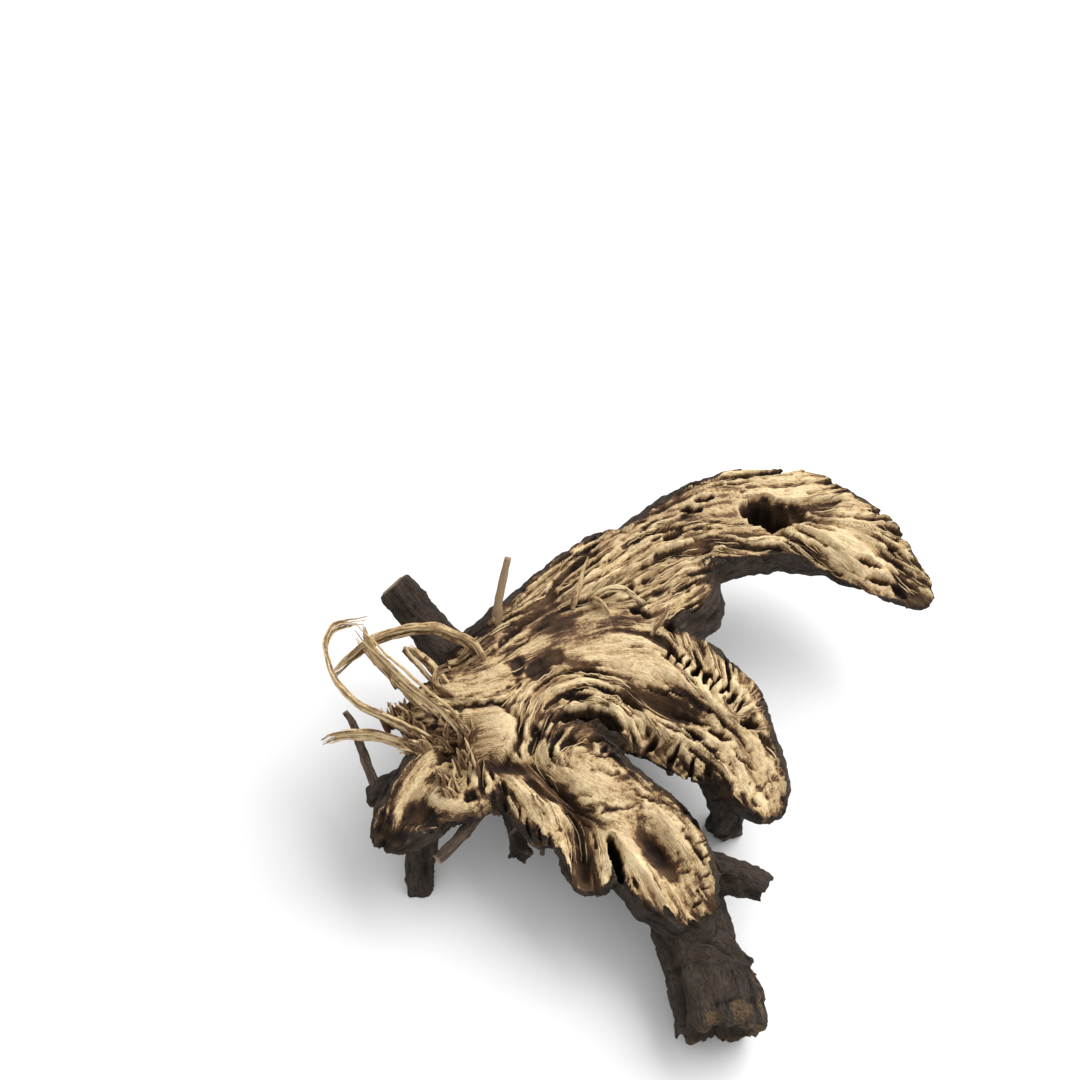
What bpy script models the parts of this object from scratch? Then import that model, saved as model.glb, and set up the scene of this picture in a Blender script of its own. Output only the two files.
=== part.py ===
"""Dried bugbane rhizome, sliced lengthwise: one solid with its lobes, stem bases, rootlets and torn fibres.

The rhizome is laid out on its sliced face. There u runs to the right, w up the face and h out of it, all
in millimetres. The bark body is swept along each lobe and fused, a knife whose underside is the torn
face cuts it open, the fibres are joined on, and the whole is laid on the floor.
"""

import math

import bmesh
import bpy
import numpy as np
from mathutils import Matrix, Vector, noise

MM = 0.001

# How the slice lies: its face leans this much towards the viewer, and its centre is this far off the floor.
SLICE_TILT = math.radians(8.0)
SLICE_HEIGHT = 25.5
# The lowest spots are worn flat by this much, so that the rhizome rests on them.
FLOOR_WEAR = 0.7

# Lobes that the knife opens. Each point is u, w, h of the lobe's axis and its radius.
SLICED_LOBES = {
    "arm": [
        (-10, 27, -6, 9.5),
        (-2, 35, -6.5, 9.8),
        (7, 43.5, -6.3, 10),
        (16, 49.8, -6, 10.8),
        (26, 53.2, -5, 11),
        (36, 53.3, -4.4, 10.4),
        (44.7, 49.8, -4, 9.4),
        (50.8, 44, -3.4, 7.6),
        (55.5, 38.5, -2.6, 5.4),
        (58.8, 34.5, -2.2, 3.4),
    ],
    "heart": [(-21, 9, -6, 8.5), (-12, 12, -6, 9), (-3, 17, -6, 8.5), (4, 20, -6, 8)],
    "arm_root": [(2, 24, -6, 8), (8, 31, -7, 8.5), (13, 38, -7.5, 9.2)],
    "right_ridge": [
        (-6, 20, -5, 8.5),
        (4, 20.5, -5, 9),
        (12.2, 16.5, -4.8, 9.2),
        (18.4, 9, -4.6, 8.9),
        (22, 0.5, -4.2, 7.4),
        (24.9, -7, -3.8, 5.4),
    ],
    "right_flank": [(-6, 14, -5, 7.2), (3.5, 9.6, -4.6, 6.9), (9.5, 5.2, -4.2, 6.3), (14, 0.2, -4, 4.7)],
    "spoon": [
        (-14, 4.5, -5, 8),
        (-7.2, -1.9, -5, 7.9),
        (-1.4, -9, -4.8, 8.2),
        (4.6, -16.6, -4.8, 9.1),
        (8.8, -24, -4.3, 7.9),
    ],
    "forked_lobe": [(-13, 2, -5, 7), (-10.2, -7, -4, 5.8), (-8, -15, -3.5, 5.2), (-6, -21.5, -3, 4.3)],
    "middle_lobe": [(-21, 5, -5, 7.5), (-18.5, -3, -4.5, 6.8), (-15, -10, -3.6, 5), (-13.4, -13, -2.6, 3.4)],
    "left_lobe": [(-24, 6, -5, 8), (-31, 1, -5, 7.6), (-37, -6, -5, 7.2), (-41, -12, -4.5, 5.6)],
    "left_spur": [(-22, 3, -5, 7), (-27, -3, -4.5, 6), (-30, -8, -4, 4.5)],
    "frayed_end": [(-16, 14, -5, 9.5), (-24, 13, -5, 9), (-31, 11, -5, 8), (-36, 8, -4.5, 6.5)],
    "shoulder": [
        (-30, 15, -6.5, 8),
        (-23, 21, -7, 9.5),
        (-15, 28, -7, 10),
        (-7, 36, -7, 10),
        (2, 43, -7, 9.5),
    ],
}

# Stem bases and root bases that keep their bark all round.
WHOLE_STUBS = {
    "stem": [
        (3, -9, -9, 6.5),
        (8, -19, -10, 6.8),
        (10.7, -26, -11, 6.7),
        (11.4, -29, -11, 7.5),
        (12.4, -32, -11, 6.9),
        (13.6, -36, -11.3, 7.4),
        (14.4, -38.5, -11.5, 8.2),
        (15, -42, -11.6, 7.7),
        (15.4, -46.2, -11.8, 7.9),
    ],
    "stem_branch": [(12, -20, -8, 4.5), (17, -19.5, -7.5, 3.6), (22, -21, -7, 2.7), (25, -22.8, -7.2, 2.7)],
    "stem_knob": [(14, -34, -9, 6), (21, -37, -8.5, 2.8)],
    "cup_stub": [(16, 3, -6, 4.6), (19.2, -2, -11, 4.2), (20.4, -3.8, -17, 3.7), (20.6, -4.4, -27, 3.3)],
    "left_foot": [(-34, 0, -6, 3.8), (-36.8, -8.5, -14, 3.2), (-37.8, -15.8, -21.5, 3), (-38, -18, -25, 2.9)],
    "left_corner": [(-39, -3.5, -6, 5), (-43.8, -5, -8, 4.4), (-45, -7.5, -9, 3.2)],
    "knob_root": [(-20, -3, -6, 2), (-20, -10, -9, 1.8), (-19.2, -14, -9.5, 1.8), (-19, -16.2, -9.5, 2.7)],
    "back_stub": [(-29, 19, -7, 4.8), (-35, 26, -5, 4.2), (-40, 31.5, -2, 3.7), (-44, 35, 1, 3.4)],
    "back_foot": [(7, 37, -10, 7), (8, 36, -20, 4.8), (8, 36, -33, 3.8)],
}

# Broad swells and hollows of the torn face: u, w, half length, half width, turn in degrees, height.
FACE_FORMS = {
    "arm_crown": (18, 52, 16, 8, 15, 1.0),
    "arm_slope": (40, 54, 6, 4.5, -10, -2.2),
    "arm_tip": (57, 35, 9, 6, -45, -1.4),
    "arm_fan": (9, 37, 7, 6, 30, -1.6),
    "heart_plain": (-8, 24, 12, 5, 15, 0.6),
    "right_hollow": (9, 10, 9, 3.2, -20, -3.4),
    "right_rim": (8, 17, 9, 3, -12, 0.8),
    "right_tip": (26, -6, 6, 5, -65, 0.5),
    "left_plate": (-28, 13.5, 7, 3, 5, -0.6),
    "plate_crease": (-28, 10.4, 8, 0.8, 0, -1.2),
    "smooth_disc": (-24.5, 5.5, 5, 5.5, 0, 1.1),
    "disc_edge": (-19.2, 5.5, 1.3, 6.5, 0, -2.4),
    "valley": (-21, -1.8, 7, 1.6, -8, -2.4),
    "valley_end": (-12, -6, 6, 1.8, -48, -3.2),
    "spoon_bulge": (-6, -5, 5, 3.5, -25, 1.2),
    "spoon_trough": (5.5, -16.5, 7, 2.3, -50, -3.2),
    "spoon_ridge": (10, -13, 6, 1.8, -50, 0.8),
    "fork_trough": (-8.3, -17, 8, 2.4, -80, -4.6),
    "frayed_pit": (-31.5, 2, 3, 6, 0, -1.6),
    "left_ridge": (-37.5, -4, 8, 2.6, 59, 1.2),
    "spur_gap": (-36.6, -10.5, 2.6, 2.6, 0, -3.0),
    "left_end": (-42.5, -15, 4, 3.6, 0, -2.4),
}

# Holes and slits with steep walls, in the same terms.
FACE_PITS = {
    "arm_cavity": (29.8, 53, 4.9, 3.4, -3, -9.5),
    "arm_cavity_step": (36, 53.5, 2.8, 3, 0, -3.6),
    "arm_pinhole": (17.5, 55.2, 2.3, 1.0, 0, -3.6),
    "arm_slit": (15, 52.6, 2.4, 0.8, 0, -2.4),
    "arm_curl": (11, 47, 2.2, 1.2, 40, -3.0),
    "arm_tip_slit": (50, 41.5, 3.2, 0.9, -30, -3.0),
    "arm_tip_hole": (51, 38.2, 2.6, 1.2, -20, -3.4),
    "arm_tip_nick": (55, 35.8, 2.2, 0.9, -45, -3.0),
    "fan_hole": (1.5, 35.4, 1.8, 1.1, 20, -3.0),
    "fan_pocket": (4, 29.6, 2.3, 1.3, -30, -3.0),
    "fork_of_arm": (9.5, 27, 1.4, 1.9, 0, -3.6),
    "cup": (17, -6.6, 2.8, 2.0, -80, -8.0),
    "right_eye": (23, 6.3, 1.9, 1.1, -10, -3.2),
    "right_slit": (17.5, 4.4, 2.4, 0.8, -38, -2.4),
    "right_nick": (13.5, 4.4, 2.2, 0.8, -38, -2.4),
    "hollow_slit": (1.2, 11, 2.2, 0.8, -25, -2.6),
    "fold_left": (-10.2, 8.0, 3.2, 1.2, 22, -5.0),
    "fold_middle": (-6.3, 8.8, 3.0, 1.3, 0, -6.5),
    "fold_right": (-2.3, 7.4, 3.0, 1.3, -38, -6.5),
    "window_left": (-19.7, 18.2, 1.3, 1.9, 0, -2.3),
    "window_low": (-16, 17.4, 1.7, 2.4, -20, -2.5),
    "window_high": (-12.8, 19.6, 1.9, 1.7, 20, -2.5),
    "window_right": (-8, 18, 3.2, 1.2, -8, -2.5),
    "lens": (-8.6, 11.9, 3.0, 1.0, -6, -2.6),
    "fork_notch": (-2.2, -19, 4.6, 1.2, -75, -9.0),
    "middle_slit": (-16.8, -12.6, 1.9, 0.9, 75, -2.8),
    "middle_nick": (-14.4, -12, 1.7, 0.8, 60, -2.6),
    "left_gap": (-22, -8, 3.8, 1.0, 88, -3.0),
    "spur_hole": (-28, -7.6, 1.7, 1.2, 0, -2.8),
    "frayed_hole": (-32.5, 7.6, 1.6, 1.1, -30, -3.2),
}

# The comb of short gaps across the right lobe's rim: their centres and how each is turned.
COMB = [
    (11, 21.3, 68),
    (13, 20.7, 62),
    (15, 19.7, 58),
    (17, 18.2, 50),
    (19, 16.4, 42),
    (21, 14, 34),
    (22.8, 11.4, 24),
]
COMB_GAP = (1.7, 0.75, -2.6)

# Places where the face is plain and only faintly grained, as ovals like those above.
PLAIN_PLACES = [
    (-8, 25, 14, 5.5, 15, 0),
    (-24.5, 5.5, 5.5, 5.5, 0, 0),
    (-29, 13.5, 7, 3, 0, 0),
    (6, 17.5, 7, 3.2, -8, 0),
    (-6, -5.5, 5, 4, -25, 0),
    (26, -7, 5, 5, -60, 0),
    (-37.5, -4, 7, 2.4, 59, 0),
    (6, -16, 7, 2.4, -50, 0),
    (-30, -9.5, 4, 2.4, 0, 0),
    (-20, -2, 9, 1.6, -8, 0),
]
PLAIN_SHARE = 0.85

# Lines that the fibres follow, drawn over the weaker lead of the lobes themselves.
FIBRE_LINES = [
    [(-18, 0), (-15, 8), (-9.5, 13), (-3, 12.5), (1.5, 9), (3, 4)],
    [(-20, 2), (-18, 11), (-11, 16.5), (-2, 15.5), (5, 12), (12, 8), (18, 4)],
    [(-15, 1), (-12.5, 6), (-8, 9.5), (-3.5, 9.8), (-0.5, 7)],
    [(-12, 1), (-8, 4.5), (-4, 4)],
    [(-34, 8), (-27, 7), (-21, 7)],
    [(-34, 4), (-27, 3.5), (-21, 3)],
    [(-36, 13), (-28, 13), (-21, 15)],
    [(-22, 17), (-12, 22), (0, 25), (8, 23)],
    [(-20, 24), (-8, 29), (2, 28)],
    [(-18, 14), (-18, 8), (-19, 1)],
    [(10.5, 23), (11.5, 19.5)],
    [(14, 22.5), (15.5, 18)],
    [(18.5, 20), (19, 15)],
    [(22.5, 15.5), (21.5, 12)],
    [(25.5, 10), (22.5, 9)],
    [(-26, -1), (-25, -9)],
    [(-20, -4), (-17, -9), (-13, -15)],
    [(-33, 4), (-38, -4), (-42, -13)],
    [(-26, -9), (-34, -9)],
    [(-9, -10), (-8, -23)],
    [(-12, -8), (-12, -19)],
    [(1, 33), (6, 36), (13, 40)],
    [(2, 38), (9, 41.5), (17, 43)],
    [(3, 30), (9, 33), (14, 36)],
    [(5, 44), (13, 47), (22, 47)],
    [(37, 57), (46, 59)],
    [(38, 55), (50, 56)],
    [(39, 53), (52, 51)],
    [(40, 51), (50, 46)],
    [(40, 49), (47, 43)],
    [(48, 46), (54, 40), (59, 34)],
]

# Torn fibres that stand out of the left end: their routes, half width, half thickness and tapered share.
STRAND_WIDTH = 1.05
STRAND_THICKNESS = 0.5
STRAND_TIP = 0.7
THINNEST = 0.4
STRANDS = {
    "hooked": [(-31, 2, -3), (-36, 2, -1.5), (-41, 2.8, -0.5), (-46, 4, 0), (-52, 3.8, 0), (-55.6, 2.6, -1)],
    "long_curl": [
        (-31.5, 1.8, -4),
        (-37.3, 3.9, 0),
        (-41.8, 5.6, 2),
        (-48.5, 8.3, 4),
        (-52.7, 12.1, 6),
        (-54.9, 18, 6.5),
        (-54.4, 21.2, 7),
        (-52.6, 23, 7),
        (-46.7, 24.4, 6.5),
    ],
    "arched": [
        (-25.5, 18, -4),
        (-27, 20.3, 0),
        (-28.6, 21.8, 1.8),
        (-32.3, 23.2, 3),
        (-36.4, 23.9, 4),
        (-43.6, 22.4, 4.5),
        (-48.2, 19.9, 4),
        (-52.2, 16.5, 3),
        (-54.8, 13.7, 2),
    ],
    "short_barb": [(-31.5, 13.5, -4), (-35.2, 16.9, 1), (-37.7, 18.9, 2), (-40.5, 21.3, 3)],
    "small_hook": [(-31, 11.5, -4), (-34, 13, 0), (-34.8, 14.2, 2), (-33.6, 15.6, 3), (-31.8, 16, 3.2)],
    "blade_prong": [(-41, 13, 3.2), (-44, 15.9, 4.6), (-46.4, 18.3, 6), (-47.6, 20.6, 7.5), (-48, 22.4, 8.2)],
}
BLADE_WIDTH = 2.0
BLADE = [(-30, 4.5, -4), (-34, 8, 0), (-39, 11.4, 3), (-44, 15.9, 4.5), (-47.8, 19.6, 5.5), (-50.4, 22.9, 6)]

# Thin rootlets: their routes and radii, which taper to this share.
ROOTLET_TIP = 0.6
ROOTLETS = {
    "side_root": ([(-41, -5.5, -8), (-44, -5, -7.5), (-46.5, -1.4, -6), (-50, 7, -3), (-51.7, 9.5, -2)], 1.2),
    "front_root": ([(-22, -1, -5), (-26.5, -8, -7.5), (-30, -12.5, -8.5), (-34, -16.5, -9)], 1.7),
    "upright_root": ([(-24, 26, -5), (-23.5, 30, 1), (-22.5, 34, 5), (-21.5, 37, 8)], 1),
    "low_root": ([(2, 12, -11), (0, 16, -16), (-4, 19, -19), (-8, 20, -20)], 1.4),
    "under_root": ([(-18, 12, -11), (-21, 9, -16), (-22, 5, -19)], 1.3),
}

# How a lobe's tip is blunted: how far past its last station it reaches and how thick it is there, in radii.
TIP_REACH, TIP_THICKNESS = 0.75, 0.5

# Mesh fineness, in millimetres, sides or triangles.
LOBE_SIDES = 40
STATION_GAP = 2.0
BODY_VOXEL = 0.9
KNIFE_GAP = 0.8
OPENED_VOXEL = 0.65
OPENED_TRIANGLES = 9300
KNIFE_REACH = 64.0
KNIFE_TOP = 40.0
STRAND_SIDES = 6
SOFTENED_SHARE, SOFTENED_TIMES = 0.5, 3
# A block that stands for the floor, in metres.
FLOOR_SIZE = 0.3

# The bark's lumps, wrinkles and lengthwise ribs: size and height.
LUMP_SIZE, LUMP_HEIGHT = 7.0, 0.8
WRINKLE_SIZE, WRINKLE_HEIGHT = 2.6, 0.3
WRINKLE_SHIFT = (9, 4, 7)
WRINKLE_MIDDLE = 0.5
RIB_WIDTH, RIB_HEIGHT = 5.2, 0.42
# The ribs wind round each lobe by up to this much a station, and by a different amount on each.
RIB_TWIST, TWIST_STEP = 0.3, 2.4
# The torn face's broad waves: size, height and draw.
WAVE_SIZE, WAVE_HEIGHT, WAVE_SEED = 9.0, 0.8, 1
# The torn face's raised net: spacing of its cords, how far each runs, its height, middle level and draw.
NET_CELL, NET_REACH, NET_HEIGHT = 2.4, 7.0, 1.8
NET_MIDDLE, NET_SEED = 0.6, 2
CORD_THICKNESS = 0.55
# How steep the walls of the holes and slits are.
PIT_STEEPNESS = 1.5
# The knife's underside rises clear of what stays whole: where its rise starts and ends, and how high it is.
RISE_START, RISE_END, RISE_HEIGHT = 1.6, 3.6, 14.0
FLOW_GAP = 1.0
FLOW_SPREAD = 3.6
LOBE_LEAD = 0.25
NOISE_TABLE = 64


def clear_scene():
    """Removes whatever the file opened with."""
    for obj in list(bpy.data.objects):
        bpy.data.objects.remove(obj)


def bark_material():
    """Dry brown root: one plain finish for the solid."""
    material = bpy.data.materials.new("rhizome")
    material.use_nodes = True
    shader = material.node_tree.nodes["Principled BSDF"]
    shader.inputs["Base Color"].default_value = (0.42, 0.29, 0.16, 1.0)
    shader.inputs["Roughness"].default_value = 0.88
    shader.inputs["Metallic"].default_value = 0.0
    return material


def smooth_route(points, gap):
    """Stations about gap apart on a Catmull-Rom curve through the points, with all of their values."""
    rows = np.array(points, float)
    rows = np.vstack([2 * rows[0] - rows[1], rows, 2 * rows[-1] - rows[-2]])
    stations = []
    for before, start, end, after in zip(rows[:-3], rows[1:-2], rows[2:-1], rows[3:]):
        count = max(1, round(np.linalg.norm((end - start)[:3]) / gap))
        for t in np.arange(count) / count:
            stations.append(
                0.5
                * (
                    2 * start
                    + (end - before) * t
                    + (2 * before - 5 * start + 4 * end - after) * t**2
                    + (3 * start - before - 3 * end + after) * t**3
                )
            )
    stations.append(rows[-2])
    return np.array(stations)


def add_tube(bm, centres, widths, thicknesses, sides, ribs=0, twist=0.0):
    """Adds one closed tube: an oval ring at each centre, ribbed lengthwise if asked, bridged and capped."""
    centres = [Vector(c) for c in centres]
    rings = []
    for i, centre in enumerate(centres):
        along = (centres[min(i + 1, len(centres) - 1)] - centres[max(i - 1, 0)]).normalized()
        side = along.cross(Vector((0, 0, 1)))
        side = side.normalized() if side.length > 0.05 else Vector((1, 0, 0))
        up = side.cross(along).normalized()
        ring = []
        for k in range(sides):
            angle = 2 * math.pi * k / sides
            rib = RIB_HEIGHT * math.cos(ribs * angle + twist * i) if ribs else 0
            across = side * (widths[i] + rib) * math.cos(angle)
            ring.append(bm.verts.new(centre + across + up * (thicknesses[i] + rib) * math.sin(angle)))
        rings.append(ring)
    for first, second in zip(rings[:-1], rings[1:]):
        for k in range(sides):
            bm.faces.new((first[k], first[(k + 1) % sides], second[(k + 1) % sides], second[k]))
    bm.faces.new(list(reversed(rings[0])))
    bm.faces.new(rings[-1])


def rounded(stations):
    """A lobe's stations with a smaller one beyond its tip, so that the tip is blunt instead of cut off."""
    tip, before = stations[-1], stations[-2]
    outward = (tip - before)[:3] / np.linalg.norm((tip - before)[:3])
    end = np.append(tip[:3] + TIP_REACH * tip[3] * outward, TIP_THICKNESS * tip[3])
    return np.vstack([stations, end])


def mesh_object(name, bm):
    """An object from a bmesh, with its faces pointing out."""
    bmesh.ops.recalc_face_normals(bm, faces=bm.faces)
    mesh = bpy.data.meshes.new(name)
    bm.to_mesh(mesh)
    bm.free()
    obj = bpy.data.objects.new(name, mesh)
    bpy.context.scene.collection.objects.link(obj)
    return obj


def apply_modifiers(obj):
    """Replaces the object's mesh by what its modifiers make of it."""
    graph = bpy.context.evaluated_depsgraph_get()
    made = bpy.data.meshes.new_from_object(obj.evaluated_get(graph))
    obj.modifiers.clear()
    obj.data = made


def remove(obj):
    bpy.data.objects.remove(obj)


def fused_bark_body():
    """All lobes and stubs as one lumpy bark body, not yet sliced."""
    bm = bmesh.new()
    lobes = [rounded(smooth_route(points, STATION_GAP)) for points in SLICED_LOBES.values()]
    stubs = [smooth_route(points, STATION_GAP) for points in WHOLE_STUBS.values()]
    for number, stations in enumerate(lobes + stubs):
        radii = stations[:, 3]
        ribs = round(2 * math.pi * radii.mean() / RIB_WIDTH)
        twist = RIB_TWIST * math.sin(TWIST_STEP * number)
        add_tube(bm, stations[:, :3], radii, radii, LOBE_SIDES, ribs, twist)
    body = mesh_object("rhizome", bm)
    fuse(body, BODY_VOXEL)
    soften = body.modifiers.new("soften", "SMOOTH")
    soften.factor = SOFTENED_SHARE
    soften.iterations = SOFTENED_TIMES
    apply_modifiers(body)
    raise_bark(body)
    return body


def fuse(obj, voxel):
    """Makes one skin of all that the mesh holds, as fine as the voxel."""
    skin = obj.modifiers.new("fuse", "REMESH")
    skin.mode = "VOXEL"
    skin.voxel_size = voxel
    apply_modifiers(obj)


def drop_scraps(obj):
    """Keeps the largest of the mesh's loose pieces."""
    bm = bmesh.new()
    bm.from_mesh(obj.data)
    unseen = set(bm.verts)
    pieces = []
    while unseen:
        piece = {unseen.pop()}
        border = list(piece)
        while border:
            vertex = border.pop()
            for edge in vertex.link_edges:
                other = edge.other_vert(vertex)
                if other in unseen:
                    unseen.remove(other)
                    piece.add(other)
                    border.append(other)
        pieces.append(piece)
    pieces.sort(key=len)
    scraps = [vertex for piece in pieces[:-1] for vertex in piece]
    bmesh.ops.delete(bm, geom=scraps, context="VERTS")
    bm.to_mesh(obj.data)
    bm.free()


def thin_to(obj, triangles):
    """Collapses the mesh to about this many triangles, the flattest places first."""
    thin = obj.modifiers.new("thin", "DECIMATE")
    thin.ratio = triangles / sum(len(face.vertices) - 2 for face in obj.data.polygons)
    apply_modifiers(obj)


def raise_bark(body):
    """Gives the bark its lumps and wrinkles by moving each point along its normal."""
    moves = []
    for vertex in body.data.vertices:
        lump = noise.noise(vertex.co / LUMP_SIZE)
        wrinkle = 1 - 2 * abs(noise.noise(vertex.co / WRINKLE_SIZE + Vector(WRINKLE_SHIFT)))
        rise = LUMP_HEIGHT * lump + WRINKLE_HEIGHT * (wrinkle - WRINKLE_MIDDLE)
        moves.append(vertex.co + vertex.normal * rise)
    for vertex, place in zip(body.data.vertices, moves):
        vertex.co = place


def lattice_noise(u, w, cell, seed):
    """Smooth noise from -1 to 1 that is the same at any fineness of u and w."""
    table = np.random.default_rng(seed).uniform(-1, 1, (NOISE_TABLE, NOISE_TABLE))
    x, y = u / cell, w / cell
    left, low = np.floor(x).astype(int), np.floor(y).astype(int)
    fx, fy = x - left, y - low
    fx, fy = fx * fx * (3 - 2 * fx), fy * fy * (3 - 2 * fy)
    left, low = left % NOISE_TABLE, low % NOISE_TABLE
    right, high = (left + 1) % NOISE_TABLE, (low + 1) % NOISE_TABLE
    near = table[left, low] * (1 - fx) + table[right, low] * fx
    far = table[left, high] * (1 - fx) + table[right, high] * fx
    return near * (1 - fy) + far * fy


def oval(u, w, form):
    """How far out each point is on one form's oval: 0 at its centre, 1 on its rim."""
    centre_u, centre_w, half_length, half_width, turn, _ = form
    angle = math.radians(turn)
    du, dw = u - centre_u, w - centre_w
    along = du * math.cos(angle) + dw * math.sin(angle)
    beside = dw * math.cos(angle) - du * math.sin(angle)
    return np.hypot(along / half_length, beside / half_width)


def distance_beyond_lobes(u, w):
    """Distance in the face's plane from each point to the nearest sliced lobe's edge, below 0 inside."""
    nearest = np.full(u.shape, np.inf)
    for points in SLICED_LOBES.values():
        for centre_u, centre_w, depth, radius in smooth_route(points, STATION_GAP):
            half_face = math.sqrt(radius**2 - depth**2)
            nearest = np.minimum(nearest, np.hypot(u - centre_u, w - centre_w) - half_face)
    return nearest


def fibre_angles():
    """The fibres' direction on a grid over the face, as the cosine and sine of twice its angle."""
    ticks = np.arange(-KNIFE_REACH - 4, KNIFE_REACH + 4 + FLOW_GAP, FLOW_GAP)
    u, w = np.meshgrid(ticks, ticks, indexing="ij")
    cosine, sine = np.zeros(u.shape), np.zeros(u.shape)
    lobes = [([point[:2] for point in points], LOBE_LEAD) for points in SLICED_LOBES.values()]
    for line, lead in lobes + [(points, 1.0) for points in FIBRE_LINES]:
        route = smooth_route(line, STATION_GAP)
        for start, end in zip(route[:-1], route[1:]):
            middle = (start + end) / 2
            angle = 2 * math.atan2(end[1] - start[1], end[0] - start[0])
            weight = lead * np.exp(-((u - middle[0]) ** 2 + (w - middle[1]) ** 2) / FLOW_SPREAD**2) + 1e-9
            cosine += weight * math.cos(angle)
            sine += weight * math.sin(angle)
    return ticks[0], cosine, sine


def sample(grid, first, u, w):
    """A grid's value at each point, between its four neighbours."""
    x = np.clip((u - first) / FLOW_GAP, 0, grid.shape[0] - 1.001)
    y = np.clip((w - first) / FLOW_GAP, 0, grid.shape[1] - 1.001)
    left, low = x.astype(int), y.astype(int)
    fx, fy = x - left, y - low
    near = grid[left, low] * (1 - fx) + grid[left + 1, low] * fx
    far = grid[left, low + 1] * (1 - fx) + grid[left + 1, low + 1] * fx
    return near * (1 - fy) + far * fy


def fibre_net(u, w, cell, reach, seed):
    """The torn fibres' raised net: 1 along its cords, 0 in the long gaps between them.

    Noise is smeared along the fibres, and the cords are the lines where it changes sign.
    """
    first, cosine, sine = fibre_angles()
    smeared = lattice_noise(u, w, cell, seed)
    step = cell / 2
    for sense in (1, -1):
        x, y = u.copy(), w.copy()
        last_x, last_y = None, None
        for _ in range(round(reach / step)):
            angle = np.arctan2(sample(sine, first, x, y), sample(cosine, first, x, y)) / 2
            go_x, go_y = sense * np.cos(angle), sense * np.sin(angle)
            if last_x is not None:
                turn = np.where(go_x * last_x + go_y * last_y < 0, -1, 1)
                go_x, go_y = go_x * turn, go_y * turn
            x, y = x + step * go_x, y + step * go_y
            smeared = smeared + lattice_noise(x, y, cell, seed)
            last_x, last_y = go_x, go_y
    smeared = smeared / np.sqrt(np.mean(smeared**2))
    return np.exp(-((smeared / CORD_THICKNESS) ** 2))


def face_height(u, w):
    """Height of the torn face over the slice's plane. It rises clear of what the knife leaves whole."""
    height = WAVE_HEIGHT * lattice_noise(u, w, WAVE_SIZE, WAVE_SEED)
    for form in FACE_FORMS.values():
        height += form[5] * np.exp(-oval(u, w, form) ** 2)
    plain = sum(np.exp(-oval(u, w, place) ** 2) for place in PLAIN_PLACES)
    rough = 1 - PLAIN_SHARE * np.clip(plain, 0, 1)
    height += NET_HEIGHT * rough * (fibre_net(u, w, NET_CELL, NET_REACH, NET_SEED) - NET_MIDDLE)
    half_length, half_width, depth = COMB_GAP
    comb = [(centre_u, centre_w, half_length, half_width, turn, depth) for centre_u, centre_w, turn in COMB]
    for pit in [*FACE_PITS.values(), *comb]:
        height += pit[5] * np.clip(PIT_STEEPNESS * (1 - oval(u, w, pit) ** 2), 0, 1)
    beyond = np.clip((distance_beyond_lobes(u, w) - RISE_START) / (RISE_END - RISE_START), 0, 1)
    return height + RISE_HEIGHT * beyond * beyond * (3 - 2 * beyond)


def knife():
    """A block over the whole slice, whose underside is the torn face."""
    ticks = np.arange(-KNIFE_REACH, KNIFE_REACH + KNIFE_GAP, KNIFE_GAP)
    u, w = np.meshgrid(ticks, ticks, indexing="ij")
    height = face_height(u, w)
    count = len(ticks)
    bm = bmesh.new()
    under = [
        [bm.verts.new((u[i, j], w[i, j], height[i, j])) for j in range(count)] for i in range(count)
    ]
    for i in range(count - 1):
        for j in range(count - 1):
            bm.faces.new((under[i][j], under[i][j + 1], under[i + 1][j + 1], under[i + 1][j]))
    boundary = [edge for edge in bm.edges if edge.is_boundary]
    walls = bmesh.ops.extrude_edge_only(bm, edges=boundary)["geom"]
    for vertex in [v for v in walls if isinstance(v, bmesh.types.BMVert)]:
        vertex.co.z = KNIFE_TOP
    bmesh.ops.triangle_fill(bm, edges=[edge for edge in bm.edges if edge.is_boundary])
    return mesh_object("knife", bm)


def boolean(obj, operation, other=None, collection=None):
    """Cuts or joins the object with another, or with a collection's objects."""
    step = obj.modifiers.new(operation.lower(), "BOOLEAN")
    step.operation = operation
    step.solver = "EXACT"
    if collection:
        step.operand_type = "COLLECTION"
        step.collection = collection
    else:
        step.object = other
    apply_modifiers(obj)


def fibres_and_rootlets():
    """The torn strands and the thin rootlets, each a tapered tube with its root sunk well in."""
    group = bpy.data.collections.new("fibres")
    bpy.context.scene.collection.children.link(group)
    pieces = [(points, STRAND_WIDTH, STRAND_THICKNESS, STRAND_TIP) for points in STRANDS.values()]
    pieces.append((BLADE, BLADE_WIDTH, STRAND_THICKNESS, STRAND_TIP))
    pieces += [(points, radius, radius, ROOTLET_TIP) for points, radius in ROOTLETS.values()]
    for points, width, thickness, tip in pieces:
        centres = smooth_route(points, STATION_GAP)
        taper = np.linspace(1, tip, len(centres))
        bm = bmesh.new()
        add_tube(bm, centres, width * taper, np.maximum(thickness * taper, THINNEST), STRAND_SIDES)
        obj = mesh_object("fibre", bm)
        bpy.context.scene.collection.objects.unlink(obj)
        group.objects.link(obj)
    return group


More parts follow.
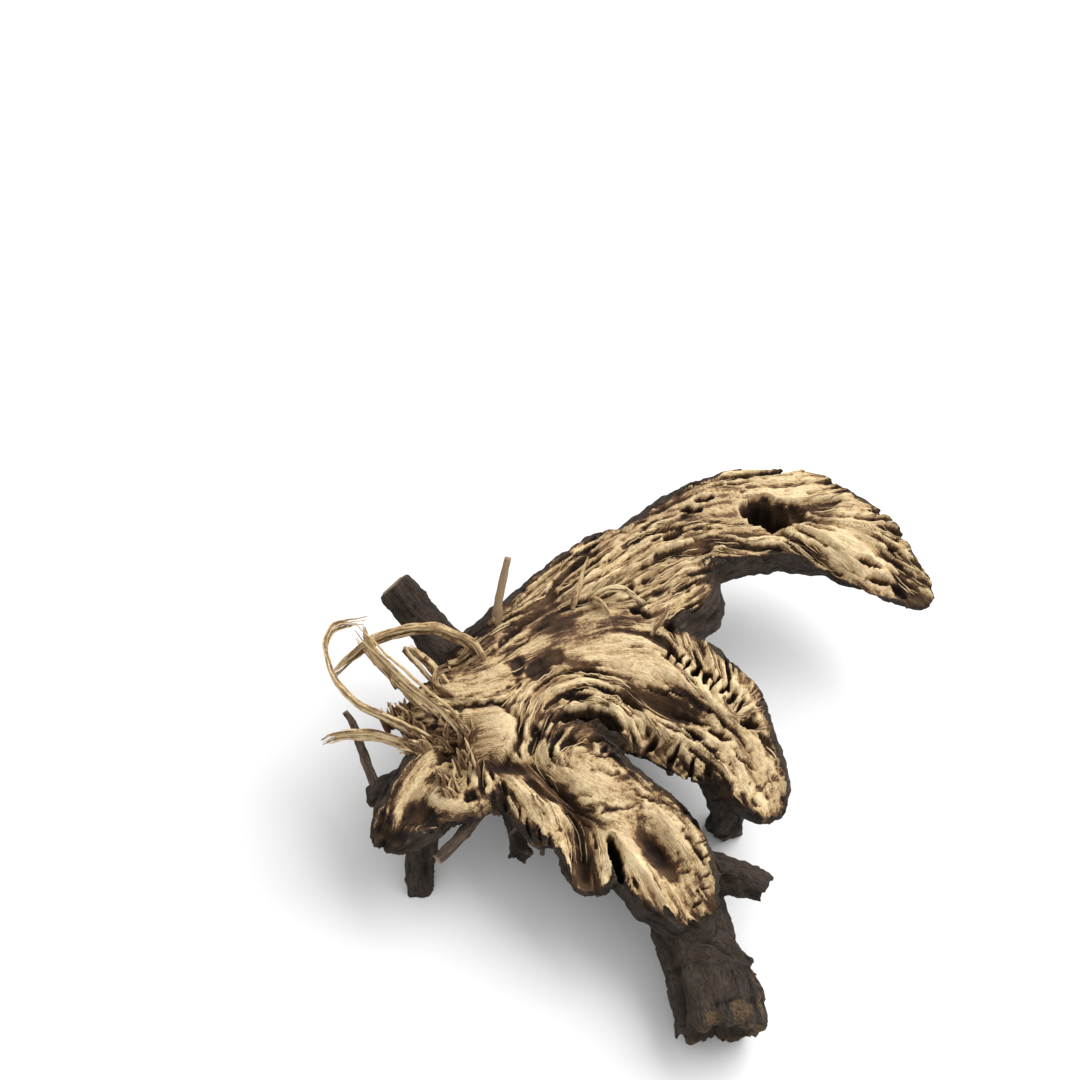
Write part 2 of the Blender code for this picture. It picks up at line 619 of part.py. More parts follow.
def lay_on_floor(body):
    """Turns the slice to the way it lies, in metres, wears its lowest spots flat and centres it."""
    lie = Matrix.Translation((0, 0, SLICE_HEIGHT * MM)) @ Matrix.Rotation(SLICE_TILT, 4, "X")
    lie = lie @ Matrix.Scale(MM, 4)
    body.data.transform(lie)
    bm = bmesh.new()
    bmesh.ops.create_cube(bm, size=FLOOR_SIZE)
    bmesh.ops.translate(bm, verts=bm.verts, vec=(0, 0, FLOOR_WEAR * MM - FLOOR_SIZE / 2))
    floor = mesh_object("floor", bm)
    boolean(body, "DIFFERENCE", floor)
    remove(floor)
    places = np.array([v.co for v in body.data.vertices])
    low, high = places.min(0), places.max(0)
    body.data.transform(Matrix.Translation((-(low[0] + high[0]) / 2, -(low[1] + high[1]) / 2, -low[2])))


def build():
    clear_scene()
    body = fused_bark_body()
    blade = knife()
    boolean(body, "DIFFERENCE", blade)
    remove(blade)
    fuse(body, OPENED_VOXEL)
    drop_scraps(body)
    thin_to(body, OPENED_TRIANGLES)
    group = fibres_and_rootlets()
    boolean(body, "UNION", collection=group)
    for obj in list(group.objects):
        remove(obj)
    bpy.data.collections.remove(group)
    lay_on_floor(body)
    body.data.materials.clear()
    body.data.materials.append(bark_material())
    body.data.shade_flat()


build()
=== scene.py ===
"""Looks of the dried bugbane rhizome: its torn cut face, bark, torn strands, rootlets and loose fibres.

The rhizome is laid out on its sliced face, as its solid is. There u runs to the right, w up the face and
h out of it, in millimetres. Finished meshes are in the part's frame, in metres.
"""

import math

import bmesh
import bpy
import numpy as np
from bpy.props import FloatProperty, FloatVectorProperty, IntProperty, PointerProperty
from mathutils import Matrix, Vector


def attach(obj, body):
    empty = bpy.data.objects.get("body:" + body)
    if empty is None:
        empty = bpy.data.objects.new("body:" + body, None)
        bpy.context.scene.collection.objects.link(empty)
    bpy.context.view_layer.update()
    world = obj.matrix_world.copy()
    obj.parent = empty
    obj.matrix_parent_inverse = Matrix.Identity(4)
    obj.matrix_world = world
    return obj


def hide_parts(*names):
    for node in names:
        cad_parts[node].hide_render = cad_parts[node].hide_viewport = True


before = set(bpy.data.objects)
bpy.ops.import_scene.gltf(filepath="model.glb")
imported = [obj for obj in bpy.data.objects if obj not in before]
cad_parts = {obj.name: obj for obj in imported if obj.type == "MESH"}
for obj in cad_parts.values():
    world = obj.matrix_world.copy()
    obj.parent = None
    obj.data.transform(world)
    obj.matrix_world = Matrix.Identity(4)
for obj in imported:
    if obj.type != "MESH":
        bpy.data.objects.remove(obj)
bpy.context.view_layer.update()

bl_info = {
    "name": "Dried rhizome",
    "version": (1, 0, 0),
    "blender": (4, 5, 0),
    "location": "3D view > Sidebar > Rhizome",
    "description": "Builds a sliced dried rhizome with its torn face, bark and fibres",
    "category": "Add Mesh",
}

# One millimetre, in metres.
MM = 0.001

# The stage, in metres: how far the floor reaches, and the lamp's and the camera's places and sizes.
FLOOR_REACH = 2.0
LAMP_PLACE, LAMP_SIZE = (0.33, 0.2, 0.5), (0.6, 0.5)
CAMERA_PLACE = (-0.018117, -0.140293, 0.241350)
SENSOR_WIDTH, CLIP_START = 36.0, 0.01

# How the slice lies in the part's frame: its face leans this much, and its centre is here, in metres.
SLICE_TILT = math.radians(8.0)
SLICE_CENTRE = (-0.0027171, -0.0094335, 0.0248)

# Lobes that are sliced open. Each point is u, w, h of the lobe's axis and its radius.
SLICED_LOBES = {
    "arm": [
        (-10, 27, -6, 9.5),
        (-2, 35, -6.5, 9.8),
        (7, 43.5, -6.3, 10),
        (16, 49.8, -6, 10.8),
        (26, 53.2, -5, 11),
        (36, 53.3, -4.4, 10.4),
        (44.7, 49.8, -4, 9.4),
        (50.8, 44, -3.4, 7.6),
        (55.5, 38.5, -2.6, 5.4),
        (58.8, 34.5, -2.2, 3.4),
    ],
    "heart": [(-21, 9, -6, 8.5), (-12, 12, -6, 9), (-3, 17, -6, 8.5), (4, 20, -6, 8)],
    "arm_root": [(2, 24, -6, 8), (8, 31, -7, 8.5), (13, 38, -7.5, 9.2)],
    "right_ridge": [
        (-6, 20, -5, 8.5),
        (4, 20.5, -5, 9),
        (12.2, 16.5, -4.8, 9.2),
        (18.4, 9, -4.6, 8.9),
        (22, 0.5, -4.2, 7.4),
        (24.9, -7, -3.8, 5.4),
    ],
    "right_flank": [(-6, 14, -5, 7.2), (3.5, 9.6, -4.6, 6.9), (9.5, 5.2, -4.2, 6.3), (14, 0.2, -4, 4.7)],
    "spoon": [
        (-14, 4.5, -5, 8),
        (-7.2, -1.9, -5, 7.9),
        (-1.4, -9, -4.8, 8.2),
        (4.6, -16.6, -4.8, 9.1),
        (8.8, -24, -4.3, 7.9),
    ],
    "forked_lobe": [(-13, 2, -5, 7), (-10.2, -7, -4, 5.8), (-8, -15, -3.5, 5.2), (-6, -21.5, -3, 4.3)],
    "middle_lobe": [(-21, 5, -5, 7.5), (-18.5, -3, -4.5, 6.8), (-15, -10, -3.6, 5), (-13.4, -13, -2.6, 3.4)],
    "left_lobe": [(-24, 6, -5, 8), (-31, 1, -5, 7.6), (-37, -6, -5, 7.2), (-41, -12, -4.5, 5.6)],
    "left_spur": [(-22, 3, -5, 7), (-27, -3, -4.5, 6), (-30, -8, -4, 4.5)],
    "frayed_end": [(-16, 14, -5, 9.5), (-24, 13, -5, 9), (-31, 11, -5, 8), (-36, 8, -4.5, 6.5)],
    "shoulder": [
        (-30, 15, -6.5, 8),
        (-23, 21, -7, 9.5),
        (-15, 28, -7, 10),
        (-7, 36, -7, 10),
        (2, 43, -7, 9.5),
    ],
}

# Wood between the lobes, which lets the face run on over the heart of the rhizome and its smooth disc.
FILLINGS = [
    [(-16, 20, -5, 9), (-8, 23, -5, 9.5), (0, 25, -5, 9), (5, 26, -5, 8)],
    [(-27, 6, -4.4, 8.4), (-23, 6, -4.4, 8.8), (-19, 6.5, -4.4, 8.6)],
]

# Stem bases and root bases that keep their bark all round.
WHOLE_STUBS = {
    "stem": [
        (3, -9, -9, 6.5),
        (8, -19, -10, 6.8),
        (10.7, -26, -11, 6.7),
        (11.4, -29, -11, 7.5),
        (12.4, -32, -11, 6.9),
        (13.6, -36, -11.3, 7.4),
        (14.4, -38.5, -11.5, 8.2),
        (15, -42, -11.6, 7.7),
        (15.4, -46.2, -11.8, 7.9),
    ],
    "stem_branch": [(12, -20, -8, 4.5), (17, -19.5, -7.5, 3.6), (22, -21, -7, 2.7), (25, -22.8, -7.2, 2.7)],
    "stem_knob": [(14, -34, -9, 6), (21, -37, -8.5, 2.8)],
    "cup_stub": [(16, 3, -6, 4.6), (19.2, -2, -11, 4.2), (20.4, -3.8, -17, 3.7), (20.6, -4.4, -27, 3.3)],
    "left_foot": [(-34, 0, -6, 3.8), (-36.8, -8.5, -14, 3.2), (-37.8, -15.8, -21.5, 3), (-38, -18, -25, 2.9)],
    "left_corner": [(-39, -3.5, -6, 5), (-43.8, -5, -8, 4.4), (-45, -7.5, -9, 3.2)],
    "knob_root": [(-20, -3, -6, 2), (-20, -10, -9, 1.8), (-19.2, -14, -9.5, 1.8), (-19, -16.2, -9.5, 2.7)],
    "back_stub": [(-29, 19, -7, 4.8), (-35, 26, -5, 4.2), (-40, 31.5, -2, 3.7), (-44, 35, 1, 3.4)],
    "back_foot": [(7, 37, -10, 7), (8, 36, -20, 4.8), (8, 36, -33, 3.8)],
}
# How ragged each broken end is, in millimetres, where it isn't cut clean.
RAGGED_ENDS = {
    "stem": 1.5,
    "stem_branch": 1.4,
    "stem_knob": 1.2,
    "left_foot": 1.2,
    "left_corner": 1.0,
    "knob_root": 0.8,
}
# How far back from its end a stub is ragged, from nothing to fully, and how deep its middle is hollowed,
# between which shares of its radius.
RAGGED_REACH, HOLLOW_DEPTH, HOLLOW_REACH = (3.0, 0.5), 0.9, (0.85, 0.4)
# The stub whose end is cut clean.
CLEAN_CUT = "back_stub"
# Where the stem's bark is worn off beside its end: places and reaches.
WORN_SPOTS = [
    ((18.2, -44.1, -4.6), 2.3),
    ((13.3, -45.7, -4.4), 1.5),
    ((22.6, -42.0, -7.0), 2.2),
]
# How wide the spots' uneven edges are, and how much of the bark is gone there, at a clean cut and at a break.
WORN_EDGE, WORN_SHARE, CUT_SHARE, BROKEN_SHARE = 0.8, 0.66, 0.95, 0.7
# Growth rings round the stem, as distances back from its end: how wide and high they are, how much they
# wander, and how far behind each there is a groove, how wide and how deep.
STEM_RINGS = [4.4, 12.6, 21.0]
RING_WIDTH, RING_HEIGHT, RING_WANDER = 0.5, 0.14, 0.8
GROOVE_BEHIND, GROOVE_WIDTH, GROOVE_DEPTH = 0.8, 0.3, 0.2

# Broad swells and hollows of the torn face: u, w, half length, half width, turn in degrees, height.
FACE_FORMS = {
    "arm_crown": (18, 52, 16, 8, 15, 1.0),
    "arm_slope": (40, 54, 6, 4.5, -10, -2.2),
    "arm_tip": (57, 35, 9, 6, -45, -1.4),
    "arm_fan": (9, 37, 7, 6, 30, -1.6),
    "heart_plain": (-8, 24, 12, 5, 15, 0.6),
    "right_hollow": (9, 10, 9, 3.2, -20, -3.4),
    "right_rim": (8, 17, 9, 3, -12, 0.8),
    "right_tip": (26, -6, 6, 5, -65, 0.5),
    "left_plate": (-28, 13.5, 7, 3, 5, -0.6),
    "plate_crease": (-28, 10.4, 8, 0.8, 0, -1.2),
    "smooth_disc": (-24.5, 5.5, 5, 5.5, 0, 1.1),
    "disc_edge_high": (-21.3, 8.8, 2.1, 0.62, -45, -1.8),
    "disc_edge": (-19.1, 5.0, 2.3, 0.62, -85, -2.2),
    "disc_edge_low": (-20.8, 0.6, 2.6, 0.68, 54, -2.0),
    "valley": (-21, -1.8, 7, 1.6, -8, -2.4),
    "valley_end": (-12, -6, 6, 1.8, -48, -3.2),
    "spoon_bulge": (-6, -5, 5, 3.5, -25, 1.2),
    "spoon_trough": (5.5, -16.5, 7, 2.3, -50, -3.2),
    "spoon_ridge": (10, -13, 6, 1.8, -50, 0.8),
    "fork_trough": (-8.3, -17, 8, 2.4, -80, -4.6),
    "frayed_pit": (-31.5, 2, 3, 6, 0, -1.6),
    "left_ridge": (-37.5, -4, 8, 2.6, 59, 1.2),
    "spur_gap": (-36.6, -10.5, 2.6, 2.6, 0, -3.0),
    "left_end": (-42.5, -15, 4, 3.6, 0, -2.4),
}

# Slopes down over the lobes' edges, and small swells, ridges and furrows, in the same terms.
FACE_SLOPES = {
    "right_tip_slope": (28.5, -12, 6, 5, -60, -5.0),
    "flank_slope": (8, 1.0, 10, 3.4, -37, -5.0),
    "middle_slope": (-15.5, -13.5, 5, 3, -30, -2.5),
    "arm_low_slope": (44, 39.5, 10, 3.2, -47, -4.0),
    "arm_inner_slope": (30, 43.5, 8, 2.0, 5, -2.0),
    "spoon_end_slope": (11, -29, 6, 4, -50, -3.0),
    "left_end_slope": (-44, -14, 4, 4, 0, -3.0),
    "bowl_left_ridge": (1.8, -20.4, 6.6, 0.73, -53, 1.0),
    "bowl_right_ridge": (8.9, -16.7, 6.3, 0.99, -64, 0.7),
    "spoon_right_groove": (13.0, -14.5, 7.0, 0.9, -62, -1.0),
    "hollow_floor": (7.5, 11.3, 6.5, 1.8, -18, -1.6),
    "right_crest": (16.5, 10.5, 9, 2.0, -48, 0.8),
    "spur_slope": (-29.0, -11.3, 6.2, 1.91, 0, -4.5),
    "spur_left": (-37.4, -9.1, 2.7, 1.85, 0, -1.5),
    "fork_floor": (-7.3, -20.6, 5.2, 1.79, -86, -2.6),
    "middle_swell": (-16.2, -12.3, 5.0, 2.16, -39, 0.9),
    "middle_end": (-13.2, -20.3, 2.4, 1.85, -31, -2.5),
    "disc_swell": (-22.5, 4.6, 3.9, 3.08, -87, 1.3),
    "bulge_flat": (-6, -5, 5, 3.5, -25, -0.9),
    "upper_furrow": (-20, 22.5, 9, 0.9, 42, -1.0),
    "shoulder_furrow": (-14, 31.5, 11, 0.8, 46, -1.4),
    "shoulder_edge": (-17, 31.0, 11, 0.8, 46, 0.8),
}

# Holes and slits with steep walls, in the same terms.
FACE_PITS = {
    "arm_cavity": (30.4, 52.6, 5.8, 4.2, -3, -10.5),
    "arm_cavity_step": (36, 53.5, 2.8, 3, 0, -3.6),
    "arm_pinhole": (17.5, 55.2, 2.3, 1.0, 0, -3.6),
    "arm_slit": (15, 52.6, 2.4, 0.8, 0, -2.4),
    "arm_curl": (11, 47, 2.2, 1.2, 40, -3.0),
    "arm_tip_slit": (50, 41.5, 3.2, 0.9, -30, -3.0),
    "arm_tip_hole": (51, 38.2, 2.6, 1.2, -20, -3.4),
    "arm_tip_nick": (55, 35.8, 2.2, 0.9, -45, -3.0),
    "fan_hole": (1.5, 35.4, 1.8, 1.1, 20, -3.0),
    "fan_pocket": (4, 29.6, 2.3, 1.3, -30, -3.0),
    "fork_of_arm": (9.5, 27, 1.4, 1.9, 0, -3.6),
    "cup": (17, -6.6, 2.8, 2.0, -80, -8.0),
    "right_eye": (23, 6.3, 1.9, 1.1, -10, -3.2),
    "right_slit": (17.5, 4.4, 2.4, 0.8, -38, -2.4),
    "right_nick": (13.5, 4.4, 2.2, 0.8, -38, -2.4),
    "hollow_slit": (1.2, 11, 2.2, 0.8, -25, -2.6),
    "fold_left": (-10.2, 8.0, 3.2, 1.2, 22, -5.0),
    "fold_middle": (-6.3, 8.8, 3.0, 1.3, 0, -6.5),
    "fold_right": (-2.3, 7.4, 3.0, 1.3, -38, -6.5),
    "window_left": (-19.7, 18.2, 1.5, 2.1, 0, -0.9),
    "window_low": (-16, 17.4, 2.1, 2.6, -20, -1.0),
    "window_high": (-12.8, 19.6, 2.1, 1.9, 20, -1.0),
    "window_right": (-8, 18, 3.4, 1.3, -8, -1.0),
    "lens": (-8.6, 11.9, 3.0, 1.0, -6, -2.6),
    "fork_notch": (-2.2, -19, 4.6, 1.2, -75, -9.0),
    "middle_slit_1": (-17.2, -13.3, 2.3, 0.25, -75, -2.2),
    "middle_slit_2": (-15.4, -14.3, 2.5, 0.25, -73, -2.2),
    "middle_slit_3": (-13.5, -15.7, 2.1, 0.25, -69, -2.0),
    "middle_slit_4": (-19.0, -10.7, 1.6, 0.22, -82, -1.6),
    "spur_crease_1": (-30.5, -6.8, 2.3, 0.25, 84, -1.4),
    "spur_crease_2": (-23.6, -8.4, 2.6, 0.31, -86, -1.8),
    "spur_crease_3": (-25.3, -10.4, 1.5, 0.22, -55, -1.2),
    "left_gap": (-22, -8, 3.8, 1.0, 88, -3.0),
    "spur_hole": (-28, -7.6, 1.7, 1.2, 0, -2.8),
    "frayed_hole": (-32.5, 7.6, 1.6, 1.1, -30, -3.2),
    "crack_high": (13.0, 8.6, 5.0, 0.42, -30, -1.6),
    "crack_middle": (17.6, 8.2, 3.4, 0.4, -52, -1.6),
    "crack_low": (12.2, 5.8, 4.0, 0.4, -32, -1.5),
    "crack_tip": (21.8, -1.2, 3.2, 0.36, -50, -1.3),
    "crack_rim": (7.8, 13.6, 4.6, 0.4, -14, -1.5),
    "flank_bite_a": (5.2, 3.6, 2.6, 0.8, 50, -3.0),
    "flank_bite_b": (9.2, 1.2, 2.6, 0.7, 60, -3.4),
    "flank_bite_c": (12.2, -1.4, 2.4, 0.7, 72, -3.4),
    "flank_bite_d": (15.2, -2.2, 2.0, 0.7, 85, -3.0),
    "spoon_bowl": (4.8, -18.0, 6.9, 2.5, -52, -1.6),
    "spoon_crease": (-10.5, -6.9, 6.4, 0.46, -41, -1.6),
    "spoon_crease_end": (-1.9, -10.4, 3.7, 0.33, 11, -1.2),
    "hollow_black": (1.9, 11.2, 2.8, 0.80, -42, -2.6),
    "hollow_crack": (12.0, 4.3, 5.8, 0.27, -37, -1.4),
    "hollow_crack_end": (16.2, 0.7, 3.1, 0.30, -49, -1.4),
    "plateau_fold_1": (-12.4, -0.2, 3.2, 0.33, -43, -1.2),
    "plateau_fold_2": (-5.2, 0.2, 3.3, 0.30, -16, -0.9),
    "plateau_fold_3": (3.2, -7.7, 3.7, 0.33, -26, -1.0),
    "plateau_fold_4": (-8.5, -7.0, 3.2, 0.30, -21, -0.8),
    "plateau_fold_5": (-3.3, -3.3, 3.6, 0.27, -15, -0.7),
    "plateau_fold_6": (5.5, -3.0, 2.0, 0.30, -63, -0.9),
    "left_fold_1": (-20.6, 25.3, 9.3, 0.28, 46, -1.5),
    "left_fold_2": (-19.5, 22.6, 9.2, 0.22, 44, -1.0),
    "left_fold_3": (-28.6, 9.9, 4.3, 0.22, 5, -1.0),
    "left_fold_4": (-29.8, 11.6, 2.9, 0.18, 7, -0.8),
    "plate_crack": (-27, 10.6, 6.0, 0.4, 3, -1.2),
}

# Short dashes across the spoon's rim: u, w, half length and turn. Then their half width and depth.
RIM_DASHES = [
    (13, -15.8, 1.2, 16),
    (13.3, -18.6, 1.2, 11),
    (13.5, -21.6, 1.1, 8),
    (12.8, -24.3, 1.1, 3),
    (11.8, -26.5, 1.1, 10),
]
RIM_DASH = (0.27, -1.1)
# Pores at the right lobe's tip: u and w. Then their half length, half width, turn and depth.
TIP_PORES = [
    (24.9, -5.2),
    (22.5, -5.7),
    (23.9, -9),
    (21, -2.7),
    (19.1, -1.3),
    (26.6, -7.6),
    (22.4, 0.9),
    (18.3, 4.5),
    (16.2, 5.6),
    (12.3, 5.2),
]
TIP_PORE = (0.3, 0.23, 0, -1.3)
# Where the torn wood rolls over the face's edge: u, w, half length, half width, turn and how far.
EXPOSED_PLACES = [
    (3.0, 1.7, 5.0, 2.65, -41, 1.0),
    (10.4, -2.9, 4.8, 2.32, -27, 1.0),
    (22.2, -8.5, 5.4, 1.33, -36, 0.8),
    (-29.9, -7.9, 6.9, 3.69, 0, 1.0),
    (-24.9, -4.2, 2.8, 2.77, -10, 1.0),
    (-21.1, -7.9, 2.5, 1.85, -51, 1.0),
    (-15.3, -16.2, 3.1, 1.54, -12, 1.0),
]
# The heights between which that wood gives way to bark again.
EXPOSED_DEPTH = (-13.0, -9.0)

# The oval where a stub stands up beside the face and keeps its bark.
KEPT_STUB = (-38, 29, 11, 6.5, 133, 0)

# The comb of short gaps across the right lobe's rim: u, w and turn. Then half length, half width and depth.
COMB = [
    (9.2, 21.1, 56),
    (10.9, 19.7, 57),
    (12.5, 18.5, 57),
    (14.1, 17.3, 57),
    (15.7, 16.0, 56),
    (17.3, 14.7, 53),
    (18.8, 13.3, 49),
    (20.2, 11.7, 44),
    (21.5, 9.8, 41),
]
COMB_GAP = (1.8, 0.5, -3.0)

# Places where the face is plain and only faintly grained, as ovals like those above.
PLAIN_PLACES = [
    (-8, 25, 14, 5.5, 15, 0),
    (-24.5, 5.5, 5.5, 5.5, 0, 0),
    (-29, 13.5, 7, 3, 0, 0),
    (6, 17.5, 7, 3.2, -8, 0),
    (-6, -5.5, 5, 4, -25, 0),
    (26, -7, 5, 5, -60, 0),
    (-37.5, -4, 7, 2.4, 59, 0),
    (6, -16, 7, 2.4, -50, 0),
    (-30, -9.5, 4, 2.4, 0, 0),
    (-20, -2, 9, 1.6, -8, 0),
]
# How much of the net's relief goes there.
PLAIN_SHARE = 0.85

# Where it is nearly smooth or only finely pitted, though the solid's net runs over it: the last value is how
# much of the relief goes.
CALM_PLACES = [
    (24, 56, 19, 5.5, 10, 0.7),
    (-18, 27, 13, 4.5, 44, 0.55),
    (22, 47.5, 11, 2.6, 5, 0.6),
    (40, 56, 10, 5, -30, 0.5),
    (46, 49, 10, 5, -45, 0.8),
    (-9, 25, 14, 6.5, 18, 0.9),
    (3, 24, 7, 5, 10, 0.6),
    (-25.5, 5.5, 7, 6, 0, 0.85),
    (-28, 13, 8, 3.4, 0, 0.75),
    (3, -14, 14, 7, -55, 0.96),
    (14, 8, 8, 6, -45, 0.45),
    (-5, -4.5, 6.5, 4.5, -25, 0.85),
    (-36.5, -4, 9, 4.2, 59, 0.7),
    (5, 17.5, 9, 3.6, -8, 0.8),
    (24, -3, 9, 6, -70, 0.6),
    (-16.2, -11.9, 5.7, 2.46, -37, 0.75),
    (-29.2, -9.1, 5.5, 1.85, 0, 0.7),
    (-30, -9.5, 5, 2.6, 0, 0.6),
    (8, 11.5, 6.5, 2.6, -20, 0.7),
]
# Where the fibres are matted, so that the wood is granular and pitted instead of corded.
MATTED_PLACES = [
    (24, -4, 8, 6.5, -65, 1.0),
    (19, 7, 7, 7, -50, 0.9),
    (12, 3.5, 10, 4.0, -38, 1.0),
    (6, 17, 9, 3.6, -10, 0.6),
    (4, -12, 15, 8.5, -55, 1.0),
    (-5, -4, 7, 5.5, -25, 0.8),
    (-12, -14, 7, 5, -60, 0.8),
    (-28, -8, 7, 3.6, 0, 0.8),
    (-32, 4, 5.0, 7.0, 0, 0.7),
    (52, 40, 9, 5, -45, 0.5),
    (22, 54, 14, 5, 10, 0.4),
]
# How deep the dark pores in the matted wood are.
PORE_DEPTH = 0.8

# Where the wood has crumbled or charred into small cells.
CRUMBLED_PLACES = [
    (-31.5, 3, 3.6, 5.5, 0, 1.0),
    (-33.5, 9, 3.0, 2.2, -20, 0.8),
    (-7.5, 4.5, 7.5, 3.4, -5, 1.0),
    (-1.5, 1.5, 3.0, 4.0, 30, 1.0),
    (-26.5, -7.5, 3.6, 2.2, 0, 0.6),
    (8, 1.5, 6.0, 2.4, -38, 0.6),
    (3, 31, 4.0, 2.0, 30, 0.5),
]

# Where the wood is stained brown: ovals as above, with the stain's strength last.
STAINED_PLACES = [
    (-19.7, 18.2, 1.7, 2.3, 0, 1.0),
    (-16, 17.6, 2.1, 2.8, -20, 1.0),
    (-12.8, 19.8, 2.2, 2.0, 20, 1.0),
    (-8, 18.2, 3.6, 1.4, -8, 0.8),
    (-8.6, 11.9, 3.2, 1.0, -6, 0.7),
    (-12.5, 26.5, 4.0, 3.2, 20, 0.75),
    (3.5, 28.5, 6.0, 2.2, 20, 0.6),
    (-6.5, 30.5, 7.0, 2.0, 25, 0.35),
    (4.7, -18.0, 6.2, 2.1, -52, 0.4),
    (6.1, -19.2, 2.6, 1.13, -53, 0.4),
    (8.1, -9.7, 5.1, 1.33, -43, 0.4),
    (3.0, -3.6, 3.6, 0.60, 14, 0.5),
    (-10.5, -6.9, 6.4, 0.40, -41, 0.85),
    (-1.9, -10.4, 3.7, 0.30, 11, 0.7),
    (9.5, 10.2, 5.6, 1.13, -26, 0.7),
    (3.6, -26.7, 2.2, 0.33, -27, 0.5),
    (7.5, 11.4, 6.5, 1.7, -18, 0.7),
    (10, 1.5, 8.0, 1.6, -40, 0.2),
    (-17, 29.5, 11, 0.7, 46, 0.7),
    (7, 11.5, 8.0, 2.2, -20, 0.9),
    (-21, -1.6, 7.0, 1.3, -8, 0.7),
    (-14.5, -4.2, 4.5, 1.5, -30, 0.9),
    (-14.8, -5.7, 4.2, 0.80, -41, 0.75),
    (-5.9, -9.5, 5.8, 0.62, -10, 0.6),
    (-21.0, -1.9, 3.0, 0.68, -13, 0.7),
    (-22.9, -8.1, 3.6, 0.74, -84, 0.6),
    (-41.1, -8.1, 3.0, 0.49, 75, 0.5),
    (-10, -8.5, 4.5, 1.6, -50, 0.6),
    (41, 53, 4.5, 3.2, -10, 0.65),
    (-10, 23.5, 6.0, 2.0, 15, 0.3),
    (-24, 24.5, 6.0, 2.0, 45, 0.5),
    (-13, 34, 9.0, 1.6, 42, 0.5),
    (-36, 6, 3.0, 5.0, 20, 0.5),
    (-28, 17.5, 4.0, 1.6, 10, 0.4),
    (-24.5, 10.3, 6.5, 0.5, 2, 0.6),
    (33, 52.5, 5.0, 3.6, 0, 0.8),
    (-31.8, 3.2, 2.6, 4.5, 0, 0.35),
    (-19.2, 5.5, 1.0, 6.0, 0, 0.5),
    (23, 6.3, 2.4, 1.6, -10, 0.5),
    (15.5, 50.5, 3.0, 1.6, 0, 0.3),
    (18, 52, 14, 7, 15, 0.28),
    (56.5, 34.5, 4.0, 3.0, -45, 0.4),
]
# Where it is as dark as bark, or black. This is partly the wood's own dark colour, as in the small windows,
# and partly painted shade in the deep holes, clefts and troughs, such as the arm's cavity, the cup and the
# folds.
DARK_AND_SHADED_PLACES = [
    (-7.2, -18.9, 7.2, 1.85, -88, 0.95),
    (-15.3, -14.8, 3.1, 0.80, -54, 0.45),
    (-42.8, -15.6, 5.2, 4.2, 0, 1.0),
    (-36.6, -11, 2.6, 2.4, 0, 0.8),
    (-7, 6.2, 6.0, 2.6, -8, 0.65),
    (-13.5, 6, 2.2, 4.5, -15, 0.5),
    (-1.5, 2.5, 2.6, 4.2, 25, 0.8),
    (17, -6.4, 2.2, 3.0, 0, 0.8),
    (30.6, 52.6, 5.0, 3.6, -3, 0.85),
    (10.5, 27.5, 2.4, 2.6, 0, 0.8),
    (-19.7, 18.4, 1.3, 1.6, 0, 0.5),
    (-16, 17.8, 1.6, 1.8, -20, 0.45),
    (-12.8, 20, 1.6, 1.5, 20, 0.6),
    (1.5, 13.0, 1.8, 1.0, -30, 0.7),
    (59, 32.5, 2.0, 2.0, 0, 0.7),
]
# Where it is paler than elsewhere.
PALE_PLACES = [
    (3.0, 2.2, 5.0, 1.53, -41, 0.45),
    (10.4, -2.6, 4.0, 1.46, -27, 0.45),
    (-22.5, 5.5, 3.0, 4.6, 0, 0.5),
    (-2, 21.5, 7.0, 2.2, 10, 0.6),
    (-16.5, -11.3, 4.6, 1.85, -38, 0.6),
    (-30.1, -9.3, 4.6, 1.35, 2, 0.5),
    (-9.6, -21.2, 4.0, 0.37, -80, 0.8),
    (-3.9, -18.2, 4.6, 0.37, -85, 0.8),
    (-25.7, -5.1, 2.4, 1.11, -38, 0.4),
    (38, 58.5, 9, 3, -15, 0.5),
    # This one and the next make the arm's right fan paler, partly as its own pale wood and partly as painted
    # light where it faces up towards the lamp.
    (46, 48, 10, 6, -45, 1.0),
    (41, 53, 6, 5, -20, 0.6),
    (25, -7, 5, 5, -60, 0.2),
    (5, 17.5, 6, 2.0, -8, 0.5),
    (19, 12, 3, 7, 35, 0.4),
    (-27, 13, 6, 2, 0, 0.4),
    (-5.5, -4.5, 3.4, 2.4, -25, 0.5),
    (2, -21, 4, 2.2, -65, 0.4),
    (9.5, -14, 6, 1.6, -50, 0.6),
    (-3.2, -14.5, 5, 1.2, -70, 0.6),
]

